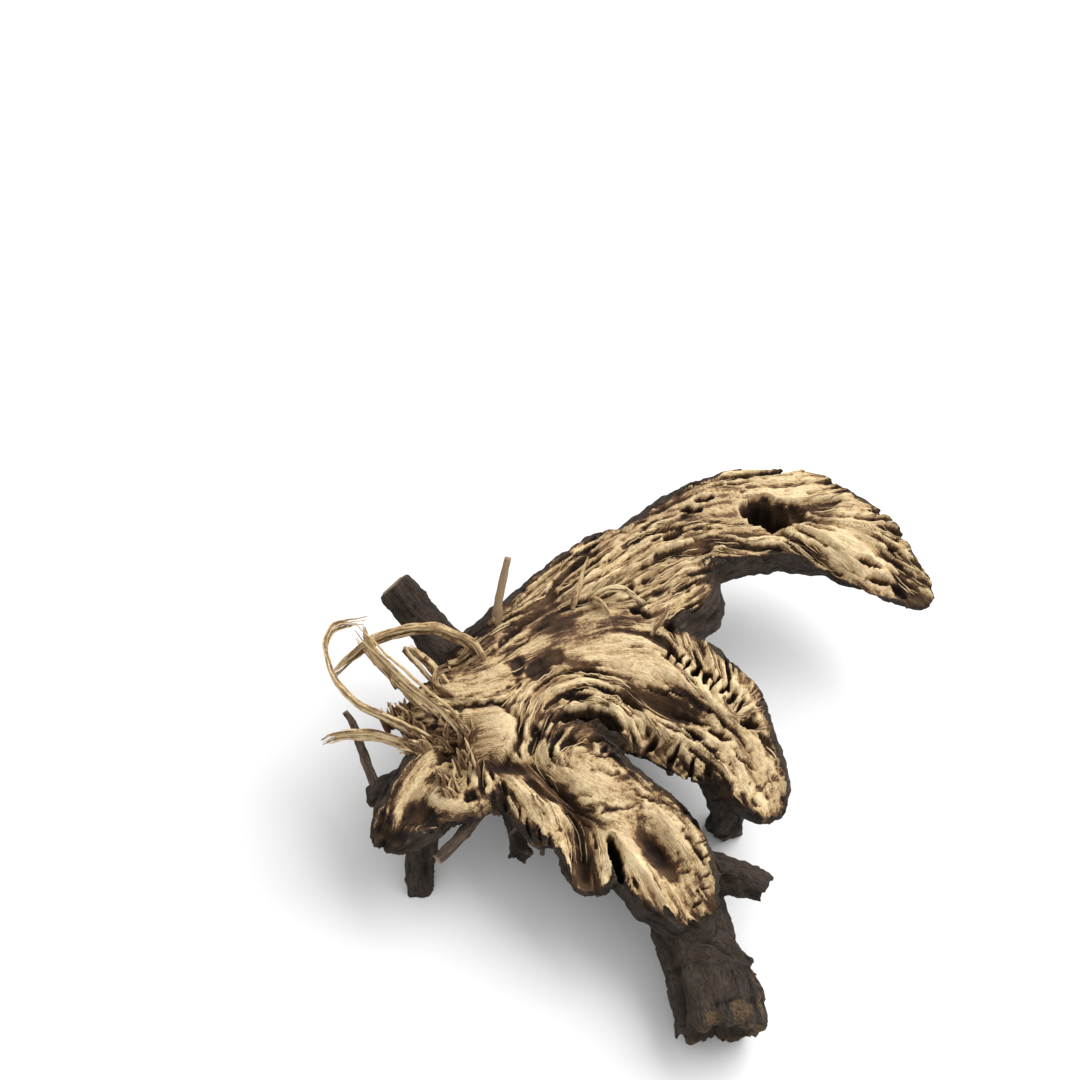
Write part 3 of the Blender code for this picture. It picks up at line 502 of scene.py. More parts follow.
# Lines that the fibres follow, drawn over the weaker lead of the lobes themselves.
FIBRE_LINES = [
    [(-18, 0), (-15, 8), (-9.5, 13), (-3, 12.5), (1.5, 9), (3, 4)],
    [(-20, 2), (-18, 11), (-11, 16.5), (-2, 15.5), (5, 12), (12, 8), (18, 4)],
    [(-15, 1), (-12.5, 6), (-8, 9.5), (-3.5, 9.8), (-0.5, 7)],
    [(-12, 1), (-8, 4.5), (-4, 4)],
    [(-34, 8), (-27, 7), (-21, 7)],
    [(-34, 4), (-27, 3.5), (-21, 3)],
    [(-36, 13), (-28, 13), (-21, 15)],
    [(-22, 17), (-12, 22), (0, 25), (8, 23)],
    [(-20, 24), (-8, 29), (2, 28)],
    [(-18, 14), (-18, 8), (-19, 1)],
    [(10.5, 23), (11.5, 19.5)],
    [(14, 22.5), (15.5, 18)],
    [(18.5, 20), (19, 15)],
    [(22.5, 15.5), (21.5, 12)],
    [(25.5, 10), (22.5, 9)],
    [(-23.6, -1.1), (-17.7, -2.9), (-14.6, -5.9), (-11.0, -8.5), (-4.9, -10.1), (1.1, -10.7)],
    [(-19.6, -1.6), (-16.5, -3.6), (-13.4, -6.6), (-9.8, -9.1)],
    [(-17.7, -0.3), (-14.6, -2.3), (-11.6, -5.5), (-7.3, -8.5)],
    [(-26, -1), (-25, -9)],
    [(-20, -4), (-17, -9), (-13, -15)],
    [(-33, 4), (-38, -4), (-42, -13)],
    [(-26, -9), (-34, -9)],
    [(-9, -10), (-8, -23)],
    [(-12, -8), (-12, -19)],
    [(1, 33), (6, 36), (13, 40)],
    [(2, 38), (9, 41.5), (17, 43)],
    [(3, 30), (9, 33), (14, 36)],
    [(5, 44), (13, 47), (22, 47)],
    [(37, 57), (46, 59)],
    [(38, 55), (50, 56)],
    [(39, 53), (52, 51)],
    [(40, 51), (50, 46)],
    [(40, 49), (47, 43)],
    [(48, 46), (54, 40), (59, 34)],
]

# Torn strands at the left end: the points of their routes.
STRANDS = {
    "hooked": [(-31, 2, -3), (-36, 2, -1.5), (-41, 2.8, -0.5), (-46, 4, 0), (-52, 3.8, 0), (-55.6, 2.6, -1)],
    "long_curl": [
        (-31.5, 1.8, -4),
        (-37.3, 3.9, 0),
        (-41.8, 5.6, 2),
        (-48.5, 8.3, 4),
        (-52.7, 12.1, 6),
        (-54.9, 18, 6.5),
        (-54.4, 21.2, 7),
        (-52.6, 23, 7),
        (-46.7, 24.4, 6.5),
    ],
    "arched": [
        (-25.5, 18, -4),
        (-27, 20.3, 0),
        (-28.6, 21.8, 1.8),
        (-32.3, 23.2, 3),
        (-36.4, 23.9, 4),
        (-43.6, 22.4, 4.5),
        (-48.2, 19.9, 4),
        (-52.2, 16.5, 3),
        (-54.8, 13.7, 2),
    ],
    "short_barb": [(-31.5, 13.5, -4), (-35.2, 16.9, 1), (-37.7, 18.9, 2), (-40.5, 21.3, 3)],
    "small_hook": [(-31, 11.5, -4), (-34, 13, 0), (-34.8, 14.2, 2), (-33.6, 15.6, 3), (-31.8, 16, 3.2)],
    "blade_prong": [(-41, 13, 3.2), (-44, 15.9, 4.6), (-46.4, 18.3, 6), (-47.6, 20.6, 7.5), (-48, 22.4, 8.2)],
}
# How far each strand's root is sunk below its first place, over what share of its length, and the spacing of
# its stations.
STRAND_SINK, SUNK_SHARE, STRAND_GAP = 2.4, 0.16, 0.8
# Pale curls that lie on the heart of the face, and shreds that stand up beside it.
CURLS = [
    [
        (-5.2, 32.4, -0.6),
        (-3.8, 32.9, 1.4),
        (-1.3, 33.5, 2.2),
        (1.2, 32.9, 2.4),
        (3.4, 31.1, 2.2),
        (5.3, 30.9, 0.4),
    ],
    [(-5.4, 32.0, -0.6), (-4.6, 31.4, 1.2), (-3.3, 30.1, 1.8), (-2.0, 28.3, 0.8)],
    [(-9.2, 30.2, 0.2), (-8.0, 33.3, 2.0), (-7.2, 36.1, 4.0), (-5.9, 38.7, 5.6)],
    [(-40.9, 20.7, 1.6), (-38.3, 17.7, 1.4), (-35.3, 14.8, -1.0)],
    [(-37.2, 18.4, 2.4), (-35.2, 16.6, 1.0), (-33.4, 14.0, -1.2)],
    [(6.2, 25.2, -1.0), (7.6, 26.6, 1.2), (8.8, 28.6, 1.8), (9.2, 30.6, 1.0)],
]
# Where short fibres stand up: u, w, half length, half width, and the way they point in degrees.
FRAYED_PLACES = [
    (-29.9, 3.4, 3.4, 3.1, 95),
    (-28.8, -2.6, 2.5, 3.1, 100),
    (-31.5, -6.5, 1.8, 2.3, 120),
    (-37.0, 2.1, 3.1, 2.3, 150),
    (-41.0, 6.8, 3.7, 2.3, 140),
]
# The broad shred among the strands.
BLADE = [(-30, 4.5, -4), (-34, 8, 0), (-39, 11.4, 3), (-44, 15.9, 4.5), (-47.8, 19.6, 5.5), (-50.4, 22.9, 6)]
# Half widths of the strands, the broad shred and the curls, and how they change from root to tip.
STRAND_WIDTH = 1.35
BLADE_WIDTH = 3.7
CURL_WIDTH = 0.6
STRAND_TAPER = ([0, 0.12, 0.3, 0.6, 1.0], [1.3, 1.2, 0.95, 0.9, 0.42])
# What the tree that grows the fibres is given for each kind of bundle, with sizes in metres, and how much
# darker than pale fibre each kind is.
STRAND_LOOK = {"Wander": 0.0011, "Splay": 0.9}
LOOSE_LOOK = {"Fibres": 1, "Radius": 0.00013, "Wander": 0.0006, "Splay": 0.0}
TUFT_LOOK = {"Fibres": 4, "Radius": 0.00029, "Wander": 0.0008, "Splay": 0.7}
PALE_SHADE, BROWN_SHADE = 0.02, 0.3
# About how many times in a metre a fibre sways, and how far apart the sways of two fibres are drawn.
SWAYS, SWAY_STEP = 260.0, 5.3
# How far a fibre strays from its place across the bundle, and how deep the bundle is at its root and at its
# tip, as shares of its width.
STRAY, BUNDLE_DEPTH, TIP_DEPTH = 0.12, 0.2, 0.3
# How late along its length a bundle splays, how late a fibre thins, and how much of it is lost at its tip.
SPLAY_POWER, THIN_POWER, THIN_SHARE = 5.0, 4.0, 0.75
# The ranges of the fibres' lengths and thicknesses, as shares, and the sides of their outlines.
FIBRE_LENGTHS, FIBRE_SIZES, FIBRE_SIDES = (0.86, 1.0), (0.7, 1.25), 5
# Loose fibres: the length of a step, how many steps they take, and half their width.
LOOSE_STEP, LOOSE_STEPS, LOOSE_WIDTH = 0.5, (6, 17), 0.1
# How far inside the rim they have to start and to stay, and the steepest step that they may take.
LOOSE_START, LOOSE_STAY, LOOSE_STEEPEST = -0.6, -0.4, 0.9
# The range of their lifts at their ends, the most that a few are lifted beyond it, and how few those are.
LOOSE_LIFTS, LOOSE_HIGHEST, LOOSE_FEW = (0.05, 0.25), 1.4, 6
# Tufts: how far their headings fan out in degrees, and the ranges of their lengths, lifts, bends and half
# widths, and how deep their roots are sunk.
TUFT_FAN = 40
TUFT_LENGTHS, TUFT_LIFTS, TUFT_BENDS, TUFT_WIDTHS = (1.2, 3.4), (0.3, 1.9), (-0.4, 0.4), (0.2, 0.65)
TUFT_SINK = 1.8

# Thin rootlets: their routes and radii, which taper to this share.
ROOTLET_TIP = 0.6
ROOTLETS = {
    "side_root": ([(-41, -5.5, -8), (-44, -5, -7.5), (-46.5, -1.4, -6), (-50, 7, -3), (-51.7, 9.5, -2)], 1.2),
    "front_root": ([(-22, -1, -5), (-26.5, -8, -7.5), (-30, -12.5, -8.5), (-34, -16.5, -9)], 1.7),
    "upright_root": ([(-24, 26, -5), (-23.5, 30, 1), (-22.5, 34, 5), (-21.5, 37, 8)], 1.15),
    "low_root": ([(2, 12, -11), (0, 16, -16), (-4, 19, -19), (-8, 20, -20)], 1.4),
    "under_root": ([(-18, 12, -11), (-21, 9, -16), (-22, 5, -19)], 1.3),
}

# The spacing of a rootlet's stations, and the sides of its tube.
ROOTLET_GAP, ROOTLET_SIDES = 0.4, 20
# How much of its bark each rootlet has lost.
PEELED = {"upright_root": 0.62, "front_root": 0.1}

# Broken root bases on the bark: how many, how long and thick they are, and how their collars stand out.
STUMP_COUNT = 90
STUMP_LENGTHS, STUMP_RADII = (0.8, 2.6), (0.45, 1.1)
# The angles round a lobe between which they stand, how much they lean, how deep they are sunk, and how torn
# their ends are.
STUMP_ANGLES, STUMP_LEAN, STUMP_SINK, STUMP_TORN = (196, 344), 0.3, 1.5, 0.42
COLLAR_WIDTH, COLLAR_HEIGHT = 1.7, 0.7

# Ribs along the lobes, which the solid has too: their width and height, the most that they twist from one
# station to the next, and how that changes from lobe to lobe.
RIB_WIDTH, RIB_HEIGHT = 5.2, 0.42
RIB_TWIST, TWIST_STEP = 0.15, 2.4
# The height of the face's net of ridges, which the solid has too, and of its broad swells, hairs, crumbs and
# tangle.
NET_HEIGHT, SWELL_HEIGHT, HAIR_HEIGHT, CRUMB_HEIGHT, TANGLE_HEIGHT = 1.8, 0.8, 0.14, 0.1, 0.26
# Noises of the face: the size of their cells, and their seeds.
FACE_NOISES = {
    "swells": (9.0, 1),
    "depths": (5.0, 6),
    "rim": (1.8, 9),
    "pores": (1.5, 38),
    "cells": (1.25, 8),
    "tangle": (1.1, 35),
    "crumb": (0.7, 5),
    "specks": (0.45, 36),
}
# Noises smeared along the fibres: the size of their cells, how far they are smeared, and their seeds.
FIBRE_NOISES = {
    "net": (2.4, 7.0, 2),
    "cords": (1.0, 6.0, 3),
    "hair": (0.6, 3.5, 4),
    "short_hair": (0.6, 1.2, 37),
}
# Noises in space, on the bark and the rootlets: the size of their cells, and their seeds.
BARK_NOISES = {
    "broad": ((1.5, 1.5, 9.0), 14),
    "narrow": ((0.75, 0.75, 4.0), 15),
    "crumb": (1.1, 16),
    "rings": (3.0, 17),
    "teeth": (1.5, 18),
    "small_teeth": (0.8, 19),
    "lumps": (7.0, 20),
    "small_lumps": (2.8, 23),
    "worn_spots": (1.6, 24),
    "rootlet_ridges": ((0.55, 0.55, 4.0), 21),
    "rootlet_bumps": ((1.5, 1.5, 1.2), 22),
}
# How the bark's wrinkles sway: how far, the size of the noise's cells, and its seeds.
BARK_SWAY, SWAY_CELL, SWAY_SEEDS = 0.9, 5.0, (11, 12, 13)
# How the edges of places and of pits wander: how far, the size of the noise's cells, and its seeds.
PLACE_EDGE, PLACE_EDGE_CELL, PLACE_EDGE_SEEDS = 0.7, 1.6, (31, 32)
PIT_EDGE, PIT_EDGE_CELL, PIT_EDGE_SEEDS = 0.45, 1.3, (33, 34)
# How steep the pits' walls are, and the depth that the finish takes as a full pit.
PIT_STEEPNESS, FULL_PIT = 1.5, 3.0
# For the finish's painted light and shade, which make crests and swells paler and the hollows between them
# darker, a point's height is compared with the mean this far round it. The second number is the difference
# that fills the scale.
HEIGHT_FIELDS = {"crest": (1.1, 2.2), "swell": (3.6, 5.0)}
# Where noise turns into pores, crumbled cells, slits and deep slits: none below the first number, all above
# the second.
PORE_LIMITS, CELL_LIMITS, SLIT_LIMITS, DEEP_LIMITS = (0.62, 0.85), (0.05, 0.5), (0.8, 1.3), (-0.5, 0.5)
# How wide the net's ridges are, and how high and how low they reach, as shares of its height.
NET_WIDTH, NET_RISE, NET_FLOOR = 0.55, 0.7, 0.45
# The depth of the crumbled cells, and the least depth of slits, as shares of the slits' depth.
CELL_SHARE, SHALLOW_SHARE = 0.8, 0.3
# Distances past the lobes' edge between which the finish's rim starts and is full, how much it wanders, and
# between which the cutter rises over the stub that keeps its bark, and how far it rises.
RIM_LIMITS, RIM_WANDER = (-2.2, 1.6), 0.7
STUB_LIMITS, STUB_CLEARANCE = (0.6, 2.6), 14.0
# Further inside the edge than this, the cutter takes at least the lobes' tops off, down to this same height.
ROOF_START = -1.0
# The grid of the fibres' directions: its spacing, how far a line leads, and how strongly a lobe does.
FLOW_GAP, FLOW_SPREAD, LOBE_LEAD = 1.0, 3.6, 0.25
# After how many cells the noises repeat, on the face and in space.
NOISE_TABLE, SPACE_TABLE = 64, 32
# The sides of a lobe's tube, and the spacing of its stations.
LOBE_SIDES, STATION_GAP = 72, 1.0
# How far apart the unbent copies of two lobes lie, so that their wrinkles differ, and the same for rootlets.
LOBE_SHIFT, ROOTLET_SHIFT = 37.0, 41
# How many points are compared with the stations at a time.
CHUNK = 20000
# How many times the line between bark and wood is blurred.
BARK_BLURS = 2
# How strongly, and how many times, the fused skin is softened.
SOFTENING, SOFTENINGS = 0.5, 6
# How far a lobe's blunt tip goes past its last station, and its radius there, as shares of the last radius.
TIP_REACH, TIP_SHARE = 0.75, 0.5
# The stretch of the face that is carved, in u and in w, and how high its cutter reaches.
CARVED_U = (-52.0, 66.0)
CARVED_W = (-34.0, 68.0)
CUTTER_TOP = 40.0
# The least that the cutter takes off the lobes' tops, which their wrinkles and ribs stand above.
TOP_SKIN = 1.8

# How much of the usual sheen the dry surfaces have.
SHEEN = 0.25
# Colours of stained fibre, painted shade in the bark's cracks, earth on it, pith, brown fibre and a rootlet's
# broken tip.
RUST = (0.30, 0.17, 0.08)
BARK_CRACK_SHADE = (0.012, 0.008, 0.006)
EARTH = (0.10, 0.058, 0.032)
DARK_PITH, PALE_PITH = (0.07, 0.042, 0.024), (0.26, 0.17, 0.09)
FIBRE_BROWN = (0.26, 0.16, 0.085)
BROKEN_TIP = (0.34, 0.23, 0.13)
# The torn wood's middling tone, and how much each pattern lightens or darkens it. The patterns that follow
# the height are painted light on crests and swells and painted shade in the hollows between them.
WOOD_TONE = 0.36
PATTERN_TONES = {
    "high": 0.38,
    "swell_light_and_hollow_shade": 0.4,
    "hairy": 0.35,
    "patches": 0.4,
    "streaks": 0.3,
    "threads": 0.36,
    "fine": 0.34,
    "dashes": -0.3,
    "mottles": 0.35,
    "matted_mottles": 0.5,
    "specks": 0.5,
    "matted_specks": 0.3,
}
# How much each of the face's fields lightens or darkens the wood. Slit and pit are painted shade, darkening
# the slits and pits. Darkened is partly the wood's own dark colour and partly painted shade in deep holes and
# clefts. Stained, pale and rim are the wood's own colour, though pale is partly painted light on the arm's
# fan.
FIELD_TONES = {"pale": 0.24, "stained": -0.5, "slit": -0.42, "pit": -0.35, "darkened": -0.75, "rim": -0.22}
# How much each pattern moves the bark towards its paler ridge colour. Scratches on the crests, dust and grit
# are wear. Raised is partly wear and partly painted highlight on the folds' ridges, and sunk is painted shade
# in their troughs.
BARK_TONES = {"scratched": 0.7, "raised": 0.3, "sunk": -0.3, "dusty": 0.35, "gritty": 0.5}
# How much each pattern raises the finest relief, in wood and in bark.
WOOD_RELIEF = {"streaks": 0.6, "threads": 0.5, "fine": 0.4, "specks": 0.8}
BARK_RELIEF = {"scratches": 4.2, "specks": 1.8, "wrinkles": 1.3, "grit": 1.8}
# The depth, in metres, of the finest relief, which is only shaded.
FINE_RELIEF, FIBRE_RELIEF = 0.00036, 0.0003


class BodySettings(bpy.types.PropertyGroup):
    """Fineness and relief of the rhizome's body."""

    skin_voxel: FloatProperty(
        name="Bark fineness", description="Voxel size of the bark's skin", default=0.0006, unit="LENGTH"
    )
    face_gap: FloatProperty(
        name="Face fineness", description="Spacing of the cut face's points", default=0.00032, unit="LENGTH"
    )
    wrinkle_height: FloatProperty(
        name="Bark wrinkles", description="Depth of the bark's wrinkles", default=0.0011, unit="LENGTH"
    )
    cord_height: FloatProperty(
        name="Fine cords",
        description="Height of the face's fine net of fibres",
        default=0.0008,
        unit="LENGTH",
    )
    slit_depth: FloatProperty(
        name="Slits", description="Depth of the slits between the cords", default=0.0016, unit="LENGTH"
    )


class FinishSettings(bpy.types.PropertyGroup):
    """Colours of the wood and bark."""

    cream: FloatVectorProperty(
        name="Cream", description="Palest torn wood", subtype="COLOR", default=(0.77, 0.60, 0.355)
    )
    tan: FloatVectorProperty(
        name="Tan", description="Ordinary torn wood", subtype="COLOR", default=(0.52, 0.36, 0.18)
    )
    stain: FloatVectorProperty(
        name="Stain", description="Stained wood", subtype="COLOR", default=(0.13, 0.068, 0.036)
    )
    # The darkest colour: that of the darkest wood, and of the painted shade in the deepest slits, pits and
    # clefts.
    char: FloatVectorProperty(
        name="Char", description="Darkest clefts of the wood", subtype="COLOR", default=(0.014, 0.009, 0.007)
    )
    bark: FloatVectorProperty(
        name="Bark", description="Dry bark", subtype="COLOR", default=(0.046, 0.033, 0.025)
    )
    # The paler ridge colour: partly wear and dust, and partly painted highlight on the wrinkles' ridges.
    bark_wear_and_highlight: FloatVectorProperty(
        name="Bark ridges",
        description="Worn ridges of the bark",
        subtype="COLOR",
        default=(0.165, 0.122, 0.088),
    )


class FibreSettings(bpy.types.PropertyGroup):
    """The torn strands, the loose fibres and the frayed tufts."""

    fibres_per_strand: IntProperty(
        name="Fibres per strand", description="How many fibres make up a torn strand", default=16, min=1
    )
    fibre_radius: FloatProperty(
        name="Fibre radius", description="Radius of one fibre of a strand", default=0.0003, unit="LENGTH"
    )
    loose_fibres: IntProperty(
        name="Loose fibres", description="How many loose fibres lie on the face", default=420, min=0
    )
    tufts: IntProperty(
        name="Tufts", description="How many tufts stand up at the frayed end", default=95, min=0
    )
    seed: IntProperty(name="Seed", description="Draw of everything that varies", default=7)


class StageSettings(bpy.types.PropertyGroup):
    """Camera, light and floor."""

    lens: FloatProperty(name="Lens", description="Focal length in millimetres", default=46.0)
    look_down: FloatProperty(
        name="Look down",
        description="Camera's angle from straight down",
        default=math.radians(40.0),
        unit="ROTATION",
    )
    lamp_power: FloatProperty(name="Lamp", description="Power of the large lamp in watts", default=4.5)
    sky: FloatProperty(name="Sky", description="Strength of the light from all round", default=0.82)
    floor: FloatVectorProperty(
        name="Floor", description="Floor colour", subtype="COLOR", default=(0.84, 0.84, 0.84)
    )


def smooth_route(points, gap):
    """Stations about gap apart on a Catmull-Rom curve through the points, with all of their values."""
    rows = np.array(points, float)
    rows = np.vstack([2 * rows[0] - rows[1], rows, 2 * rows[-1] - rows[-2]])
    stations = []
    for before, start, end, after in zip(rows[:-3], rows[1:-2], rows[2:-1], rows[3:]):
        count = max(1, round(np.linalg.norm((end - start)[:3]) / gap))
        for t in np.arange(count) / count:
            stations.append(
                0.5
                * (
                    2 * start
                    + (end - before) * t
                    + (2 * before - 5 * start + 4 * end - after) * t**2
                    + (3 * start - before - 3 * end + after) * t**3
                )
            )
    stations.append(rows[-2])
    return np.array(stations)


def rounded(stations):
    """A lobe's stations with a smaller one beyond its tip, so that the tip is blunt instead of cut off."""
    tip, before = stations[-1], stations[-2]
    outward = (tip - before)[:3] / np.linalg.norm((tip - before)[:3])
    end = np.append(tip[:3] + TIP_REACH * tip[3] * outward, TIP_SHARE * tip[3])
    return np.vstack([stations, end])


def unit(vectors):
    """The vectors, each made 1 long."""
    return vectors / np.maximum(np.linalg.norm(vectors, axis=-1, keepdims=True), 1e-9)


def axes_along(centres):
    """The route's direction, and its sideways and upward directions, at each of its stations."""
    along = unit(np.vstack([centres[1:], centres[-1:]]) - np.vstack([centres[:1], centres[:-1]]))
    side = np.cross(along, (0, 0, 1))
    upright = np.linalg.norm(side, axis=1) < 0.05
    side[upright] = (1, 0, 0)
    side = unit(side)
    return along, side, unit(np.cross(side, along))


def tube(stations, sides, ribs=0, twist=0.0):
    """Points and faces of one closed tube round the stations, ribbed lengthwise if asked."""
    centres, radii = stations[:, :3], stations[:, 3]
    _, side, up = axes_along(centres)
    angles = 2 * math.pi * np.arange(sides) / sides
    rows = np.arange(len(centres))
    rib = RIB_HEIGHT * np.cos(ribs * angles[None, :] + twist * rows[:, None]) if ribs else 0
    reach = radii[:, None] + rib
    points = centres[:, None] + reach[..., None] * (
        np.cos(angles)[None, :, None] * side[:, None] + np.sin(angles)[None, :, None] * up[:, None]
    )
    faces = []
    for i in range(len(centres) - 1):
        for k in range(sides):
            after = (k + 1) % sides
            faces.append((i * sides + k, i * sides + after, (i + 1) * sides + after, (i + 1) * sides + k))
    faces.append(tuple(reversed(range(sides))))
    faces.append(tuple(range((len(centres) - 1) * sides, len(centres) * sides)))
    return points.reshape(-1, 3), faces


def mesh_object(name, points, faces):
    """An object from points and faces, which then point outwards."""
    mesh = bpy.data.meshes.new(name)
    mesh.from_pydata(points.tolist(), [], faces)
    bm = bmesh.new()
    bm.from_mesh(mesh)
    bmesh.ops.recalc_face_normals(bm, faces=bm.faces)
    bm.to_mesh(mesh)
    bm.free()
    obj = bpy.data.objects.new(name, mesh)
    bpy.context.scene.collection.objects.link(obj)
    return obj


def apply_modifiers(obj):
    """Replaces the object's mesh by what its modifiers make of it."""
    graph = bpy.context.evaluated_depsgraph_get()
    made = bpy.data.meshes.new_from_object(obj.evaluated_get(graph))
    obj.modifiers.clear()
    obj.data = made


def vectors_of(mesh, name):
    """The places ("co") or the directions ("normal") of the mesh's points, as an array."""
    flat = np.zeros(len(mesh.vertices) * 3)
    mesh.vertices.foreach_get(name, flat)
    return flat.reshape(-1, 3)


def move_to(mesh, places):
    """Moves the mesh's points to the places."""
    mesh.vertices.foreach_set("co", np.ascontiguousarray(places, float).ravel())
    mesh.update()


def into_frame(places):
    """Turns the slice's millimetres into the part's metres."""
    turn = np.array(Matrix.Rotation(SLICE_TILT, 3, "X"))
    return places @ turn.T * MM + np.array(SLICE_CENTRE)


def store(mesh, name, values):
    """Keeps one value, or one vector, for each of the mesh's points."""
    kind = "FLOAT_VECTOR" if values.ndim == 2 else "FLOAT"
    layer = mesh.attributes.new(name, kind, "POINT")
    layer.data.foreach_set("vector" if values.ndim == 2 else "value", values.astype(np.float32).ravel())


def lattice_noise(u, w, cell, seed):
    """Smooth noise from -1 to 1 that is the same at any fineness of u and w."""
    table = np.random.default_rng(seed).uniform(-1, 1, (NOISE_TABLE, NOISE_TABLE))
    x, y = u / cell, w / cell
    left, low = np.floor(x).astype(int), np.floor(y).astype(int)
    fx, fy = x - left, y - low
    fx, fy = fx * fx * (3 - 2 * fx), fy * fy * (3 - 2 * fy)
    left, low = left % NOISE_TABLE, low % NOISE_TABLE
    right, high = (left + 1) % NOISE_TABLE, (low + 1) % NOISE_TABLE
    near = table[left, low] * (1 - fx) + table[right, low] * fx
    far = table[left, high] * (1 - fx) + table[right, high] * fx
    return near * (1 - fy) + far * fy


def space_noise(places, cell, seed):
    """Smooth noise from -1 to 1 in space, where cell is one size or one for each direction."""
    table = np.random.default_rng(seed).uniform(-1, 1, (SPACE_TABLE,) * 3)
    scaled = places / np.array(cell)
    low = np.floor(scaled).astype(int)
    part = scaled - low
    part = part * part * (3 - 2 * part)
    low = low % SPACE_TABLE
    high = (low + 1) % SPACE_TABLE
    total = 0
    for corner in range(8):
        picks = [(corner >> axis) & 1 for axis in range(3)]
        weight = 1
        for axis, pick in enumerate(picks):
            weight = weight * (part[:, axis] if pick else 1 - part[:, axis])
        x, y, z = [(high if pick else low)[:, axis] for axis, pick in enumerate(picks)]
        total = total + weight * table[x, y, z]
    return total


def oval(u, w, form):
    """How far out each point is on one form's oval: 0 at its centre, 1 on its rim."""
    centre_u, centre_w, half_length, half_width, turn, _ = form
    angle = math.radians(turn)
    du, dw = u - centre_u, w - centre_w
    along = du * math.cos(angle) + dw * math.sin(angle)
    beside = dw * math.cos(angle) - du * math.sin(angle)
    return np.hypot(along / half_length, beside / half_width)


def distance_beyond_lobes(u, w):
    """Distance in the face's plane from each point to the nearest sliced lobe's edge, below 0 inside."""
    nearest = np.full(u.shape, np.inf)
    for points in SLICED_LOBES.values():
        for centre_u, centre_w, depth, radius in smooth_route(points, 2 * STATION_GAP):
            half_face = math.sqrt(radius**2 - depth**2)
            nearest = np.minimum(nearest, np.hypot(u - centre_u, w - centre_w) - half_face)
    return nearest


def lobe_tops(u, w):
    """How high the uncut lobes reach over each point of the face."""
    tops = np.full(u.shape, -CUTTER_TOP)
    for points in [*SLICED_LOBES.values(), *FILLINGS]:
        for centre_u, centre_w, depth, radius in smooth_route(points, 2 * STATION_GAP):
            inside = radius**2 - (u - centre_u) ** 2 - (w - centre_w) ** 2
            tops = np.where(inside > 0, np.maximum(tops, depth + np.sqrt(np.maximum(inside, 0))), tops)
    return tops


def fibre_angles():
    """The fibres' direction on a grid over the face, as the cosine and sine of twice its angle."""
    ticks = np.arange(-68, 69, FLOW_GAP)
    u, w = np.meshgrid(ticks, ticks, indexing="ij")
    cosine, sine = np.zeros(u.shape), np.zeros(u.shape)
    lobes = [([point[:2] for point in points], LOBE_LEAD) for points in SLICED_LOBES.values()]
    for line, lead in lobes + [(points, 1.0) for points in FIBRE_LINES]:
        route = smooth_route(line, 2 * STATION_GAP)
        for start, end in zip(route[:-1], route[1:]):
            middle = (start + end) / 2
            angle = 2 * math.atan2(end[1] - start[1], end[0] - start[0])
            weight = lead * np.exp(-((u - middle[0]) ** 2 + (w - middle[1]) ** 2) / FLOW_SPREAD**2) + 1e-9
            cosine += weight * math.cos(angle)
            sine += weight * math.sin(angle)
    size = np.hypot(cosine, sine)
    return ticks[0], FLOW_GAP, cosine / size, sine / size


def sample(grid, first, gap, u, w):
    """A grid's value at each point, between its four neighbours. First may differ in u and in w."""
    first_u, first_w = first if isinstance(first, tuple) else (first, first)
    x = np.clip((u - first_u) / gap, 0, grid.shape[0] - 1.001)
    y = np.clip((w - first_w) / gap, 0, grid.shape[1] - 1.001)
    left, low = x.astype(int), y.astype(int)
    fx, fy = x - left, y - low
    near = grid[left, low] * (1 - fx) + grid[left + 1, low] * fx
    far = grid[left, low + 1] * (1 - fx) + grid[left + 1, low + 1] * fx
    return near * (1 - fy) + far * fy


FLOW = fibre_angles()


def flow_at(u, w):
    """The fibres' direction at each point, up to its sign."""
    first, gap, cosine, sine = FLOW
    angle = np.arctan2(sample(sine, first, gap, u, w), sample(cosine, first, gap, u, w)) / 2
    return np.cos(angle), np.sin(angle)


def smeared_noise(u, w, cell, reach, seed):
    """Noise smeared along the fibres, about 1 strong."""
    smeared = lattice_noise(u, w, cell, seed)
    step = cell / 2
    for sense in (1, -1):
        x, y = u.copy(), w.copy()
        last_x, last_y = None, None
        for _ in range(round(reach / step)):
            go_x, go_y = flow_at(x, y)
            go_x, go_y = sense * go_x, sense * go_y
            if last_x is not None:
                turn = np.where(go_x * last_x + go_y * last_y < 0, -1, 1)
                go_x, go_y = go_x * turn, go_y * turn
            x, y = x + step * go_x, y + step * go_y
            smeared = smeared + lattice_noise(x, y, cell, seed)
            last_x, last_y = go_x, go_y
    return smeared / np.sqrt(np.mean(smeared**2))


def soft_step(low, high, values):
    """0 below low, 1 above high, and smooth between."""
    part = np.clip((values - low) / (high - low), 0, 1)
    return part * part * (3 - 2 * part)


def over_places(u, w, places):
    """How strongly the ovals cover each point, from 0 to 1. Their edges wander."""
    u = u + PLACE_EDGE * lattice_noise(u, w, PLACE_EDGE_CELL, PLACE_EDGE_SEEDS[0])
    w = w + PLACE_EDGE * lattice_noise(u, w, PLACE_EDGE_CELL, PLACE_EDGE_SEEDS[1])
    clear = 1.0
    for place in places:
        clear = clear * (1 - place[5] * np.exp(-oval(u, w, place) ** 4))
    return 1 - clear


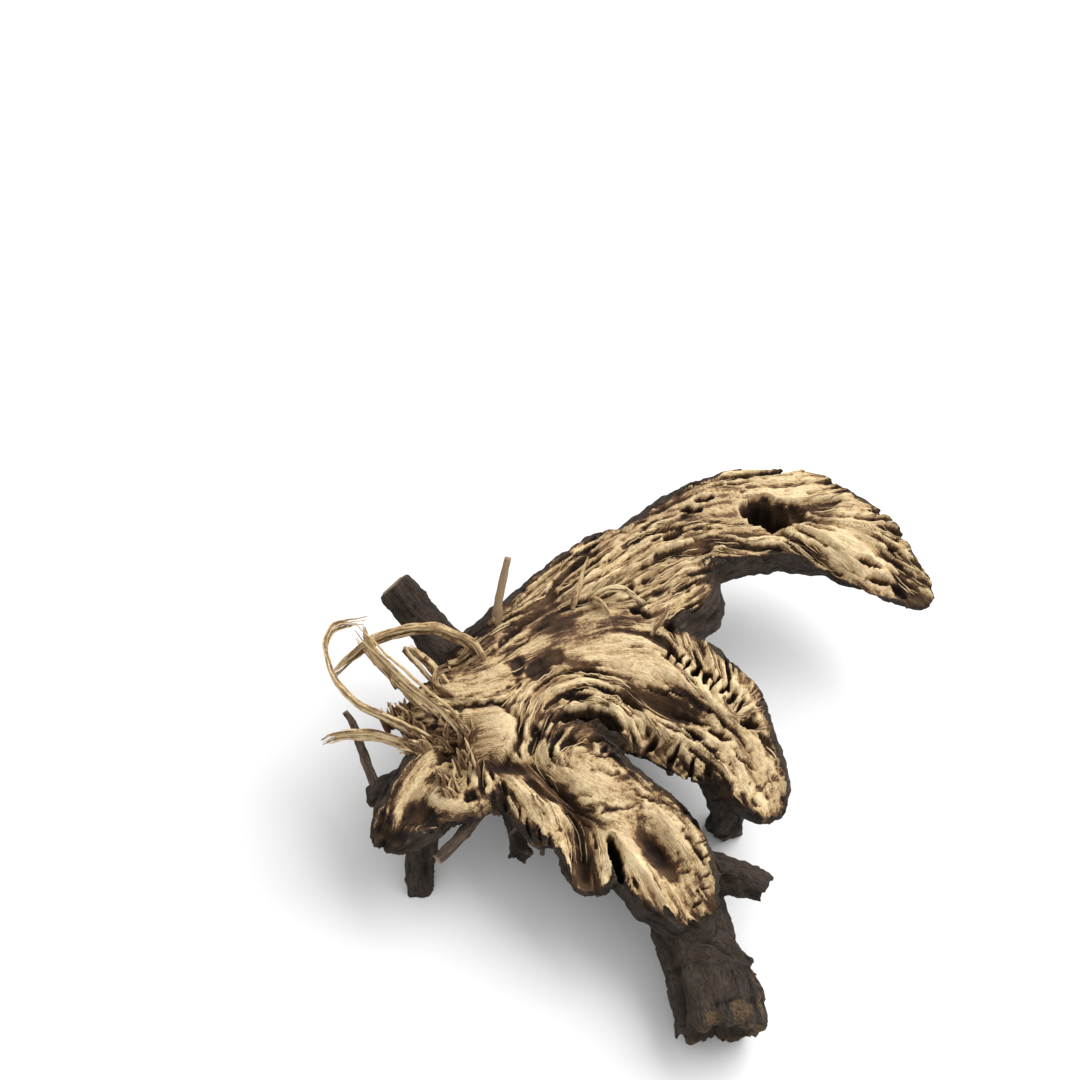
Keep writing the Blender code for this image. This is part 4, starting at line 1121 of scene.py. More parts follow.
def blurred(grid, steps):
    """The grid's mean over a square that reaches this many points each way."""
    for axis in (0, 1):
        padded = np.concatenate([np.repeat(np.take(grid, [0], axis), steps + 1, axis), grid], axis)
        padded = np.concatenate([padded, np.repeat(np.take(grid, [-1], axis), steps, axis)], axis)
        total = np.cumsum(padded, axis)
        width = 2 * steps + 1
        high = np.take(total, range(width, width + grid.shape[axis]), axis)
        low = np.take(total, range(grid.shape[axis]), axis)
        grid = (high - low) / width
    return grid


def small_pits():
    """The comb's gaps, the rim's dashes and the tip's pores, in the terms of the larger pits."""
    pits = [(u, w, *COMB_GAP[:2], turn, COMB_GAP[2]) for u, w, turn in COMB]
    pits += [(u, w, half_length, RIM_DASH[0], turn, RIM_DASH[1]) for u, w, half_length, turn in RIM_DASHES]
    return pits + [(u, w, *TIP_PORE) for u, w in TIP_PORES]


def pit_depths(u, w):
    """How deep the pits, slits and gaps are at each point, as a height below 0."""
    moves = [PIT_EDGE * lattice_noise(u, w, PIT_EDGE_CELL, seed) for seed in PIT_EDGE_SEEDS]
    pits = 0
    for pit in [*FACE_PITS.values(), *small_pits()]:
        out = oval(u + moves[0], w + moves[1], pit)
        pits = pits + pit[5] * np.clip(PIT_STEEPNESS - PIT_STEEPNESS * out**2, 0, 1)
    return pits


def face_fields(u, w, settings):
    """The torn face's height, and what its finish needs to know, at each point of a grid."""
    noise = {name: lattice_noise(u, w, *row) for name, row in FACE_NOISES.items()}
    smeared = {name: smeared_noise(u, w, *row) for name, row in FIBRE_NOISES.items()}
    crumb, pits = noise["crumb"], pit_depths(u, w)
    plain = sum(np.exp(-oval(u, w, place) ** 2) for place in PLAIN_PLACES)
    calm = over_places(u, w, CALM_PLACES)
    rough = (1 - PLAIN_SHARE * np.clip(plain, 0, 1)) * (1 - calm)
    matted = over_places(u, w, MATTED_PLACES)
    crumbled = over_places(u, w, CRUMBLED_PLACES)
    net = NET_RISE * np.exp(-((smeared["net"] / NET_WIDTH) ** 2)) - NET_FLOOR
    tangle = noise["tangle"] + 0.7 * crumb + 0.5 * noise["specks"]
    cords = np.abs(smeared["cords"] * (1 - 0.5 * matted))
    hair = smeared["hair"] * (1 - 0.75 * matted) + 0.75 * matted * smeared["short_hair"]
    pores = soft_step(*PORE_LIMITS, noise["pores"] + 0.3 * crumb) * matted * (1 - 0.6 * calm)
    cells = soft_step(*CELL_LIMITS, noise["cells"] + 0.4 * crumb) * crumbled
    slit = soft_step(*SLIT_LIMITS, cords + 0.2 * crumb) * np.clip(rough + 0.1, 0, 1)
    deep = SHALLOW_SHARE + (1 - SHALLOW_SHARE) * soft_step(*DEEP_LIMITS, noise["depths"])

    height = SWELL_HEIGHT * noise["swells"]
    for form in [*FACE_FORMS.values(), *FACE_SLOPES.values()]:
        height += form[5] * np.exp(-oval(u, w, form) ** 2)
    height += NET_HEIGHT * rough * (1 - 0.6 * matted) * net
    height += pits
    height += settings.cord_height / MM * (0.2 + 0.8 * rough) * (0.5 - cords * 0.5)
    height -= settings.slit_depth / MM * slit * deep
    height -= settings.slit_depth / MM * CELL_SHARE * cells
    height += HAIR_HEIGHT * hair * (0.25 + 0.75 * rough) + CRUMB_HEIGHT * crumb * (0.3 + 0.7 * rough)
    height += TANGLE_HEIGHT * tangle * matted * (1 - 0.5 * calm) - PORE_DEPTH * pores
    from_rim = distance_beyond_lobes(u, w)
    roof = np.maximum(lobe_tops(u, w) - TOP_SKIN, ROOF_START)
    height = np.where(from_rim < ROOF_START, np.minimum(height, roof), height)
    height += STUB_CLEARANCE * soft_step(*STUB_LIMITS, from_rim) * np.exp(-oval(u, w, KEPT_STUB) ** 6)
    return {
        "height": height,
        "slit": np.maximum(np.maximum(slit, cells), 0.8 * pores),
        "rough": rough,
        "hair": 0.5 + 0.25 * hair,
        "matted": matted,
        "pit": np.clip(-pits / FULL_PIT, 0, 1.5),
        "stained": over_places(u, w, STAINED_PLACES),
        "darkened": over_places(u, w, DARK_AND_SHADED_PLACES),
        "pale": over_places(u, w, PALE_PLACES) * (1 - 0.7 * crumbled),
        "rim": soft_step(*RIM_LIMITS, from_rim + RIM_WANDER * noise["rim"]),
    }


def lobe_stations():
    """Every lobe's and stub's name and fine stations."""
    lobes = [(name, rounded(smooth_route(points, STATION_GAP))) for name, points in SLICED_LOBES.items()]
    lobes += [(name, smooth_route(points, STATION_GAP)) for name, points in WHOLE_STUBS.items()]
    return lobes + [("filling", smooth_route(points, STATION_GAP)) for points in FILLINGS]


def root_stumps():
    """Broken root bases on the lobes' undersides and flanks: foot, outward direction, length and radius."""
    rng = np.random.default_rng(41)
    lobes = [smooth_route(points, STATION_GAP) for points in SLICED_LOBES.values()]
    stumps = []
    for _ in range(STUMP_COUNT):
        stations = lobes[rng.integers(len(lobes))]
        index = rng.integers(1, len(stations) - 1)
        _, side, up = axes_along(stations[:, :3])
        around = math.radians(rng.uniform(*STUMP_ANGLES))
        outward = math.cos(around) * side[index] + math.sin(around) * up[index]
        foot = stations[index, :3] + stations[index, 3] * outward
        lean = unit(outward + rng.normal(0, STUMP_LEAN, 3))
        length, radius = rng.uniform(*STUMP_LENGTHS), rng.uniform(*STUMP_RADII)
        covered = [np.linalg.norm(other[:, :3] - foot, axis=1) < other[:, 3] - 0.5 for other in lobes]
        if not any(near.any() for near in covered):
            stumps.append((foot, lean, length, radius))
    return stumps


def bark_places(places):
    """For each point of the bark: its lobe's number, its place on an unbent copy of that lobe, and how far
    it is short of the lobe's end."""
    centres, radii, frames, lengths, numbers, remaining = [], [], [], [], [], []
    for number, (_, stations) in enumerate(lobe_stations()):
        steps = np.linalg.norm(np.diff(stations[:, :3], axis=0), axis=1)
        travelled = np.concatenate([[0], np.cumsum(steps)])
        centres.append(stations[:, :3])
        radii.append(stations[:, 3])
        frames.append(np.stack(axes_along(stations[:, :3]), axis=1))
        lengths.append(travelled)
        remaining.append(travelled[-1] - travelled)
        numbers.append(np.full(len(stations), number))
    centres, radii, frames = np.vstack(centres), np.concatenate(radii), np.concatenate(frames)
    lengths, remaining = np.concatenate(lengths), np.concatenate(remaining)
    numbers = np.concatenate(numbers)
    number, unbent, short = np.zeros(len(places), int), np.zeros((len(places), 3)), np.zeros(len(places))
    for start in range(0, len(places), CHUNK):
        rows = slice(start, start + CHUNK)
        part = places[rows]
        square = (part**2).sum(1)[:, None] + (centres**2).sum(1)[None] - 2 * part @ centres.T
        nearest = np.argmin(np.sqrt(np.maximum(square, 0)) - radii[None], axis=1)
        away = part - centres[nearest]
        along, side, up = [np.einsum("ij,ij->i", away, frames[nearest, k]) for k in range(3)]
        around = np.arctan2(up, side)
        radius = radii[nearest]
        shift = LOBE_SHIFT * numbers[nearest]
        number[rows] = numbers[nearest]
        unbent[rows] = np.stack(
            [radius * np.cos(around), radius * np.sin(around), lengths[nearest] + along + shift], axis=1
        )
        short[rows] = remaining[nearest] - along
    return number, unbent, short


def bark_noise(places, name):
    """One of the bark's named noises."""
    return space_noise(places, *BARK_NOISES[name])


def bark_relief(places):
    """The bark's wrinkles at each point: 1 on their crests, 0 in the deepest cracks."""
    number, unbent, short = bark_places(places)
    sway = [space_noise(places, SWAY_CELL, seed) for seed in SWAY_SEEDS]
    swayed = unbent + BARK_SWAY * np.stack(sway, axis=1)
    broad, narrow = [1 - np.abs(bark_noise(swayed, name)) * 1.5 for name in ("broad", "narrow")]
    crest = 0.25 + 0.4 * broad + 0.35 * narrow + 0.15 * bark_noise(places, "crumb")
    names = [name for name, _ in lobe_stations()]
    on_stem = number == names.index("stem")
    for ring in STEM_RINGS:
        past = short - ring + RING_WANDER * bark_noise(places, "rings")
        ridge = np.exp(-((past / RING_WIDTH) ** 2))
        groove = np.exp(-(((past + GROOVE_BEHIND) / GROOVE_WIDTH) ** 2))
        crest = crest + on_stem * (RING_HEIGHT * ridge - GROOVE_DEPTH * groove)
    return number, unbent, short, np.clip(crest, 0, 1.3)


def ragged_ends(places, number, short):
    """Moves for the points near each broken end, which make it uneven."""
    moves = np.zeros_like(places)
    for index, (name, stations) in enumerate(lobe_stations()):
        if name not in RAGGED_ENDS:
            continue
        outward = unit(stations[-1, :3] - stations[-2, :3])
        near = (number == index) * soft_step(*RAGGED_REACH, short)
        from_end = places - stations[-1, :3]
        ahead = (from_end @ outward)[:, None] * outward
        across = np.linalg.norm(from_end - ahead, axis=1) / stations[-1, 3]
        teeth = bark_noise(places - ahead, "teeth") + 0.5 * bark_noise(places - ahead, "small_teeth")
        hollow = HOLLOW_DEPTH * soft_step(*HOLLOW_REACH, across)
        moves += (near * RAGGED_ENDS[name] * (0.6 * teeth - 0.3 - hollow))[:, None] * outward
    return moves


def grown_body(settings):
    """All lobes and stubs as one wrinkled bark body, not yet sliced."""
    points, faces = [], []
    for index, (_, stations) in enumerate(lobe_stations()):
        ribs = round(2 * math.pi * stations[:, 3].mean() / RIB_WIDTH)
        tube_points, tube_faces = tube(stations, LOBE_SIDES, ribs, RIB_TWIST * math.sin(TWIST_STEP * index))
        first = sum(len(group) for group in points)
        points.append(tube_points)
        faces += [tuple(first + corner for corner in face) for face in tube_faces]
    body = mesh_object("rhizome_body", np.vstack(points), faces)
    skin = body.modifiers.new("fuse", "REMESH")
    skin.mode = "VOXEL"
    skin.voxel_size = settings.skin_voxel / MM
    soften = body.modifiers.new("soften", "SMOOTH")
    soften.factor = SOFTENING
    soften.iterations = SOFTENINGS
    apply_modifiers(body)
    places, normals = vectors_of(body.data, "co"), vectors_of(body.data, "normal")
    number, _, short, crest = bark_relief(places)
    lumps = 0.8 * bark_noise(places, "lumps") + 0.4 * bark_noise(places, "small_lumps")
    for foot, _, _, radius in root_stumps():
        reach = np.linalg.norm(places - foot, axis=1) / (COLLAR_WIDTH * radius)
        lumps += COLLAR_HEIGHT * radius * np.exp(-(reach**2))
    height = settings.wrinkle_height / MM * (crest - 0.75) + lumps
    names = [name for name, _ in lobe_stations()]
    height *= 1 - (number == names.index(CLEAN_CUT)) * soft_step(1.0, 0.1, short)
    move_to(body.data, places + normals * height[:, None] + ragged_ends(places, number, short))
    return body


def face_cutter(settings):
    """A block over the whole slice, whose underside is the torn face, and the fields of that face."""
    gap = settings.face_gap / MM
    ticks_u, ticks_w = np.arange(*CARVED_U, gap), np.arange(*CARVED_W, gap)
    u, w = np.meshgrid(ticks_u, ticks_w, indexing="ij")
    fields = face_fields(u, w, settings)
    for name, (reach, scale) in HEIGHT_FIELDS.items():
        around = blurred(fields["height"], round(reach / gap))
        fields[name] = 0.5 + (fields["height"] - around) / scale
    rows, columns = u.shape
    under = np.stack([u, w, fields["height"]], axis=-1).reshape(-1, 3)
    index = np.arange(rows * columns).reshape(rows, columns)
    quads = np.stack([index[:-1, :-1], index[:-1, 1:], index[1:, 1:], index[1:, :-1]], axis=-1).reshape(-1, 4)
    edge = [*index[:, 0], *index[-1, 1:], *index[-2::-1, -1], *index[0, -2:0:-1]]
    above = under[edge].copy()
    above[:, 2] = CUTTER_TOP
    count, first = len(edge), len(under)
    walls = [(edge[k], edge[(k + 1) % count], first + (k + 1) % count, first + k) for k in range(count)]
    faces = quads.tolist() + walls + [tuple(range(first, first + count))]
    return mesh_object("cutter", np.vstack([under, above]), faces), (CARVED_U[0], CARVED_W[0]), gap, fields


def slice_open(body, cutter):
    """Cuts the body with the cutter. The faces that the cutter leaves carry the second material."""
    for obj in (body, cutter):
        for name in ("bark", "wood"):
            obj.data.materials.append(bpy.data.materials.get(name) or bpy.data.materials.new(name))
    cutter.data.polygons.foreach_set("material_index", np.ones(len(cutter.data.polygons), int))
    cut = body.modifiers.new("slice", "BOOLEAN")
    cut.operation = "DIFFERENCE"
    cut.solver = "MANIFOLD"
    cut.object = cutter
    apply_modifiers(body)
    bpy.data.objects.remove(cutter)


def keep_largest(obj):
    """Drops every loose piece of the mesh but its largest."""
    bm = bmesh.new()
    bm.from_mesh(obj.data)
    unseen = set(bm.verts)
    pieces = []
    while unseen:
        seed = unseen.pop()
        piece, border = {seed}, [seed]
        while border:
            for edge in border.pop().link_edges:
                for other in edge.verts:
                    if other in unseen:
                        unseen.remove(other)
                        piece.add(other)
                        border.append(other)
        pieces.append(piece)
    pieces.sort(key=len)
    bmesh.ops.delete(bm, geom=[vertex for piece in pieces[:-1] for vertex in piece], context="VERTS")
    bm.to_mesh(obj.data)
    bm.free()


def bark_share(mesh):
    """For each point, 1 on bark, 0 on wood, and smooth across the rim between them."""
    woody = np.zeros(len(mesh.polygons), int)
    mesh.polygons.foreach_get("material_index", woody)
    corners = np.zeros(len(mesh.loops), int)
    mesh.loops.foreach_get("vertex_index", corners)
    sizes = np.zeros(len(mesh.polygons), int)
    mesh.polygons.foreach_get("loop_total", sizes)
    touching = np.bincount(corners, minlength=len(mesh.vertices))
    wood = np.bincount(corners, np.repeat(woody, sizes), minlength=len(mesh.vertices))
    share = 1 - wood / np.maximum(touching, 1)
    edges = np.zeros(len(mesh.edges) * 2, int)
    mesh.edges.foreach_get("vertices", edges)
    start, end = edges.reshape(-1, 2).T
    near = np.bincount(edges, minlength=len(mesh.vertices))
    for _ in range(BARK_BLURS):
        total = np.bincount(start, share[end], len(share)) + np.bincount(end, share[start], len(share))
        share = 0.5 * share + 0.5 * total / np.maximum(near, 1)
    return share


class Wire:
    """A shader socket that Python expressions can use. Each operation adds its Math node."""

    def __init__(self, finish, socket):
        self.finish = finish
        self.socket = socket

    def maths(self, operation, *values):
        return self.finish.add("ShaderNodeMath", {"operation": operation}, dict(enumerate(values)))

    def __add__(self, other):
        return self.maths("ADD", self, other)

    __radd__ = __add__

    def __sub__(self, other):
        return self.maths("SUBTRACT", self, other)

    def __rsub__(self, other):
        return self.maths("SUBTRACT", other, self)

    def __mul__(self, other):
        return self.maths("MULTIPLY", self, other)

    __rmul__ = __mul__


class Finish:
    """A material under construction, with the few kinds of node that the finishes here need."""

    def __init__(self, name, roughness):
        self.material = bpy.data.materials.get(name) or bpy.data.materials.new(name)
        self.material.use_nodes = True
        self.tree = self.material.node_tree
        self.shader = self.tree.nodes["Principled BSDF"]
        self.shader.inputs["Roughness"].default_value = roughness
        self.shader.inputs["Specular IOR Level"].default_value = SHEEN

    def add(self, kind, settings, inputs, output=0):
        """Adds a node, makes its settings, then sets or links its sockets, and returns one output."""
        node = self.tree.nodes.new(kind)
        for name, value in settings.items():
            if name == "stops":
                self.set_stops(node.color_ramp, value)
            else:
                setattr(node, name, value)
        for key, value in inputs.items():
            self.join(node.inputs[key], value)
        return Wire(self, node.outputs[output])

    def set_stops(self, ramp, stops):
        """Gives the colour ramp its stops, of which the first two are the darkest and the palest."""
        for place, colour in stops[2:]:
            ramp.elements.new(place)
        for element, (place, colour) in zip(ramp.elements, sorted(stops, key=lambda stop: stop[0])):
            element.position = place
            element.color = (*colour, 1.0)

    def join(self, socket, value):
        """Links the value to the socket if it is a wire, and else sets it."""
        if isinstance(value, Wire):
            self.tree.links.new(value.socket, socket)
        elif socket.type == "RGBA":
            socket.default_value = (*value, 1.0)
        else:
            socket.default_value = value

    def attribute(self, name, output="Fac"):
        """One of the values that the mesh keeps for its points."""
        return self.add("ShaderNodeAttribute", {"attribute_name": name}, {}, output)

    def place(self):
        """Where a point is, in millimetres."""
        spot = self.add("ShaderNodeTexCoord", {}, {}, "Object")
        return self.add("ShaderNodeVectorMath", {"operation": "SCALE"}, {0: spot, "Scale": 1 / MM})

    def noise(self, vector, scale, detail=3.0, roughness=0.55):
        return self.add(
            "ShaderNodeTexNoise",
            {},
            {"Vector": vector, "Scale": scale, "Detail": detail, "Roughness": roughness},
        )

    def streaks(self, vector, across, scale, frequency, evenness=1.0):
        """Streaks whose waves run in the direction across."""
        inputs = {"Vector": vector, "Scale": scale, "Frequency": frequency}
        inputs |= {"Anisotropy": evenness, "Orientation": across}
        return self.add("ShaderNodeTexGabor", {"gabor_type": "2D"}, inputs)

    def stretch(self, value, low, high):
        """The value with low to high spread over 0 to 1."""
        return self.add("ShaderNodeMapRange", {}, {0: value, 1: low, 2: high, 3: 0.0, 4: 1.0})

    def drawn_out(self, vector, share):
        """The vector with only this share of its third part, so that a texture on it is drawn out."""
        return self.add("ShaderNodeVectorMath", {"operation": "MULTIPLY"}, {0: vector, 1: (1.0, 1.0, share)})

    def mix(self, factor, first, second):
        return self.add("ShaderNodeMix", {"data_type": "RGBA"}, {0: factor, 6: first, 7: second}, 2)

    def ramp(self, value, stops):
        return self.add("ShaderNodeValToRGB", {"stops": stops}, {0: value})

    def bump(self, height, distance):
        return self.add("ShaderNodeBump", {}, {"Strength": 1.0, "Distance": distance, "Height": height})

    def finish_with(self, colour, normal):
        """Joins up the shader, and returns the material."""
        self.join(self.shader.inputs["Base Color"], colour)
        self.join(self.shader.inputs["Normal"], normal)
        return self.material


def weighted(patterns, shares, start=0.0):
    """The patterns added up, each times its share."""
    total = start
    for name, share in shares.items():
        total = total + patterns[name] * share
    return total


def torn_wood(finish, place, specks, colours):
    """The torn wood's colour, and the height of its finest relief."""
    matted = finish.attribute("matted")
    lined = 1.0 - matted * 0.75
    cosine, sine = finish.attribute("flow_cosine"), finish.attribute("flow_sine")
    across = sine.maths("ARCTAN2", sine, cosine) * 0.5 + math.pi / 2
    fine = finish.streaks(place, across, 2.2, 2.2, 0.9)
    patches = finish.noise(place, 0.16, 4.0)
    mottles = finish.noise(place, 0.55, 5.0, 0.65)
    patterns = {
        "streaks": finish.streaks(place, across, 0.8, 1.6) - 0.5,
        "threads": finish.streaks(place, across, 1.6, 1.9) - 0.5,
        "fine": fine - 0.5,
        "specks": specks - 0.5,
        "patches": patches - 0.5,
        "mottles": mottles - 0.5,
        "dashes": finish.stretch(fine, 0.66, 0.8) * finish.stretch(mottles, 0.4, 0.6),
        # Painted light and shade: crests and swells are paler, and the hollows round them darker.
        "high": finish.stretch(finish.attribute("crest"), 0.1, 0.85),
        "swell_light_and_hollow_shade": finish.stretch(finish.attribute("swell"), 0.1, 0.9) - 0.5,
        "hairy": finish.attribute("hair") - 0.5,
    }
    height = weighted(patterns, WOOD_RELIEF)
    patterns["matted_specks"] = patterns["specks"] * matted
    patterns["matted_mottles"] = patterns["mottles"] * matted
    patterns["streaks"] = patterns["streaks"] * lined
    patterns["threads"] = patterns["threads"] * lined
    # Painted shade: the slit and pit fields darken the slits and pits, and the dark places darken the deep
    # holes and clefts among them.
    fields = {name: finish.attribute(name) for name in FIELD_TONES}
    tone = weighted(fields, FIELD_TONES, weighted(patterns, PATTERN_TONES, WOOD_TONE))
    wood = finish.ramp(
        tone,
        [
            (0.0, colours.char),
            (1.0, [1.12 * part for part in colours.cream]),
            (0.2, [0.4 * part for part in colours.stain]),
            (0.36, colours.stain),
            (0.54, colours.tan),
            (0.78, colours.cream),
        ],
    )
    rusty = finish.mix(finish.stretch(patches, 0.45, 0.65) * 0.35, wood, RUST)
    return finish.mix(finish.attribute("stained") * 0.25, rusty, colours.stain), height


def dry_bark(finish, place, specks, colours):
    """The bark's colour, with pith where it is broken, and the height of its finest relief."""
    lengthwise = finish.drawn_out(finish.attribute("grain_place", "Vector"), 0.16)
    scratches = finish.noise(lengthwise, 1.5, 5.0, 0.65)
    folds = finish.noise(lengthwise, 2.6, 3.0, 0.6) - 0.5
    wrinkles = 1.0 - folds.maths("ABSOLUTE", folds) * 7.0
    grit = finish.noise(place, 3.2, 3.0, 0.65)
    wrinkle = finish.attribute("wrinkle")
    # Scratches, dust and grit are wear. Raised is partly wear and partly painted highlight on the folds'
    # ridges, and sunk is painted shade in their troughs.
    worn = {
        "scratched": finish.stretch(wrinkle, 0.45, 1.05) * finish.stretch(scratches, 0.35, 0.7),
        "raised": finish.stretch(wrinkles, 0.2, 1.0),
        "sunk": finish.stretch(wrinkles, 0.2, -0.6),
        "dusty": finish.stretch(finish.noise(place, 0.5, 4.0, 0.6), 0.55, 0.8),
        "gritty": finish.stretch(grit, 0.62, 0.78),
    }
    skin = finish.mix(weighted(worn, BARK_TONES), colours.bark, colours.bark_wear_and_highlight)
    # Painted shade: the bark darkens towards near black in the deepest cracks of its wrinkles.
    skin = finish.mix(finish.stretch(wrinkle, 0.5, 0.15) * 0.8, skin, BARK_CRACK_SHADE)
    earthy = finish.stretch(finish.noise(place, 0.22, 3.0), 0.52, 0.75)
    skin = finish.mix(earthy * 0.5, skin, EARTH)
    broken = finish.attribute("broken")
    pith = finish.mix(finish.stretch(specks, 0.35, 0.65), DARK_PITH, PALE_PITH)
    pith = finish.mix(finish.stretch(broken, 0.75, 0.95), pith, colours.cream)
    relief = {"scratches": scratches - 0.5, "specks": specks - 0.5, "wrinkles": wrinkles, "grit": grit - 0.5}
    return finish.mix(finish.stretch(broken, 0.3, 0.6), skin, pith), weighted(relief, BARK_RELIEF)


def body_finish(colours):
    """Torn wood and wrinkled bark in one material, told apart by the body's own attributes."""
    finish = Finish("rhizome_skin", 0.85)
    place = finish.place()
    specks = finish.noise(place, 1.9, 4.0, 0.6)
    wood, wood_height = torn_wood(finish, place, specks, colours)
    bark, bark_height = dry_bark(finish, place, specks, colours)
    share = finish.stretch(finish.attribute("bark") + (specks - 0.5) * 0.35, 0.32, 0.62)
    height = wood_height * (1.0 - share) + bark_height * share
    return finish.finish_with(finish.mix(share, wood, bark), finish.bump(height, FINE_RELIEF))


def fibre_finish(colours, name, shade):
    """Dry fibre, streaked lengthwise and darkened by the shade."""
    finish = Finish(name, 0.8)
    place = finish.place()
    length = finish.attribute("length")
    tint = finish.attribute("tint")
    patches = finish.noise(place, 0.5, 4.0)
    specks = finish.noise(place, 2.4, 4.0, 0.6)
    root = finish.stretch(length, 0.35, 0.0)
    tone = 0.5 + (tint - 0.5) * 0.85 + (patches - 0.5) * 1.1 + (specks - 0.5) * 0.6 - root * 0.34 - shade
    colour = finish.ramp(
        tone,
        [
            (0.0, colours.stain),
            (1.0, [1.1 * part for part in colours.cream]),
            (0.24, FIBRE_BROWN),
            (0.46, colours.tan),
            (0.8, colours.cream),
        ],
    )
    return finish.finish_with(colour, finish.bump(specks, FIBRE_RELIEF))


def rootlet_finish(colours):
    """Thin dark bark with lengthwise wrinkles."""
    finish = Finish("rootlet_bark", 0.85)
    place = finish.place()
    grain = finish.attribute("grain_place", "Vector")
    lengthwise = finish.drawn_out(grain, 0.2)
    scratches = finish.noise(lengthwise, 2.2, 5.0, 0.65)
    dust = finish.noise(place, 0.6, 4.0, 0.6)
    worn = finish.stretch(scratches, 0.4, 0.7) + finish.stretch(dust, 0.5, 0.8) * 0.5
    colour = finish.mix(worn, colours.bark, colours.bark_wear_and_highlight)
    tip = finish.stretch(finish.attribute("broken"), 0.3, 0.7)
    colour = finish.mix(tip, colour, BROKEN_TIP)
    return finish.finish_with(colour, finish.bump(scratches, FIBRE_RELIEF))


def make_body():
    """The rhizome's body, sliced open, with all that its finish needs kept on its points."""
    settings = bpy.context.scene.rhizome_body
    body = grown_body(settings)
    cutter, first, gap, fields = face_cutter(settings)
    slice_open(body, cutter)
    keep_largest(body)
    mesh = body.data
    places = vectors_of(mesh, "co")
    u, w = places[:, 0], places[:, 1]
    number, unbent, short, crest = bark_relief(places)
    upward = soft_step(-0.35, 0.1, vectors_of(mesh, "normal")[:, 2])
    bark = bark_share(mesh)
    bark *= 1 - over_places(u, w, EXPOSED_PLACES) * upward * soft_step(*EXPOSED_DEPTH, places[:, 2])
    names = [name for name, _ in lobe_stations()]
    whole = np.array([name in WHOLE_STUBS for name in names])
    fresh = np.array([CUT_SHARE if name == CLEAN_CUT else BROKEN_SHARE for name in names])
    broken = whole[number] * fresh[number] * soft_step(0.5, -0.1, short)
    for spot, reach in WORN_SPOTS:
        away = np.linalg.norm(places - spot, axis=1) + WORN_EDGE * bark_noise(places, "worn_spots")
        worn = soft_step(reach + WORN_EDGE, reach - WORN_EDGE, away)
        broken = np.maximum(broken, WORN_SHARE * worn)
    for name in ("crest", "swell", "slit", "pit", "stained", "darkened", "pale", "hair", "rim", "matted"):
        store(mesh, name, sample(fields[name], first, gap, u, w))
    go_u, go_w = flow_at(u, w)
    store(mesh, "flow_cosine", go_u * go_u - go_w * go_w)
    store(mesh, "flow_sine", 2 * go_u * go_w)
    store(mesh, "bark", bark)
    store(mesh, "wrinkle", crest)
    store(mesh, "broken", broken)
    store(mesh, "grain_place", unbent)
    laid = into_frame(places)
    laid[:, 2] = np.maximum(laid[:, 2], 0)
    move_to(mesh, laid)
    mesh.materials.clear()
    mesh.materials.append(body_finish(bpy.context.scene.rhizome_finish))
    mesh.polygons.foreach_set("material_index", np.zeros(len(mesh.polygons), int))
    mesh.shade_smooth()
    return body


class Nodes:
    """A Geometry Nodes tree under construction."""

    def __init__(self, name, inputs):
        self.tree = bpy.data.node_groups.new(name, "GeometryNodeTree")
        self.identifiers = {}
        for label, kind in inputs:
            socket = self.tree.interface.new_socket(label, in_out="INPUT", socket_type=kind)
            self.identifiers[label] = socket.identifier
        self.tree.interface.new_socket("Geometry", in_out="OUTPUT", socket_type="NodeSocketGeometry")
        self.start = self.tree.nodes.new("NodeGroupInput")
        self.end = self.tree.nodes.new("NodeGroupOutput")

    def input(self, label):
        return self.start.outputs[label]

    def add(self, kind, settings, inputs, output=0):
        node = self.tree.nodes.new(kind)
        for name, value in settings.items():
            setattr(node, name, value)
        for key, value in inputs.items():
            if isinstance(value, bpy.types.NodeSocket):
                self.tree.links.new(value, node.inputs[key])
            else:
                node.inputs[key].default_value = value
        return node.outputs[output]

    def maths(self, operation, *values):
        return self.add("ShaderNodeMath", {"operation": operation}, dict(enumerate(values)))

    def vectors(self, operation, *values):
        return self.add("ShaderNodeVectorMath", {"operation": operation}, dict(enumerate(values)))

    def scaled(self, vector, size):
        return self.add("ShaderNodeVectorMath", {"operation": "SCALE"}, {0: vector, "Scale": size})

    def random(self, low, high, identity, seed):
        inputs = {2: low, 3: high, "ID": identity, "Seed": seed}
        return self.add("FunctionNodeRandomValue", {"data_type": "FLOAT"}, inputs, 1)

    def keep(self, geometry, name, value, domain="POINT"):
        """Keeps a value on the geometry under a name that a material can read."""
        return self.add(
            "GeometryNodeStoreNamedAttribute",
            {"data_type": "FLOAT", "domain": domain},
            {"Geometry": geometry, "Name": name, "Value": value},
        )

    def finish(self, geometry):
        """Makes the geometry what the tree gives back."""
        self.tree.links.new(geometry, self.end.inputs[0])


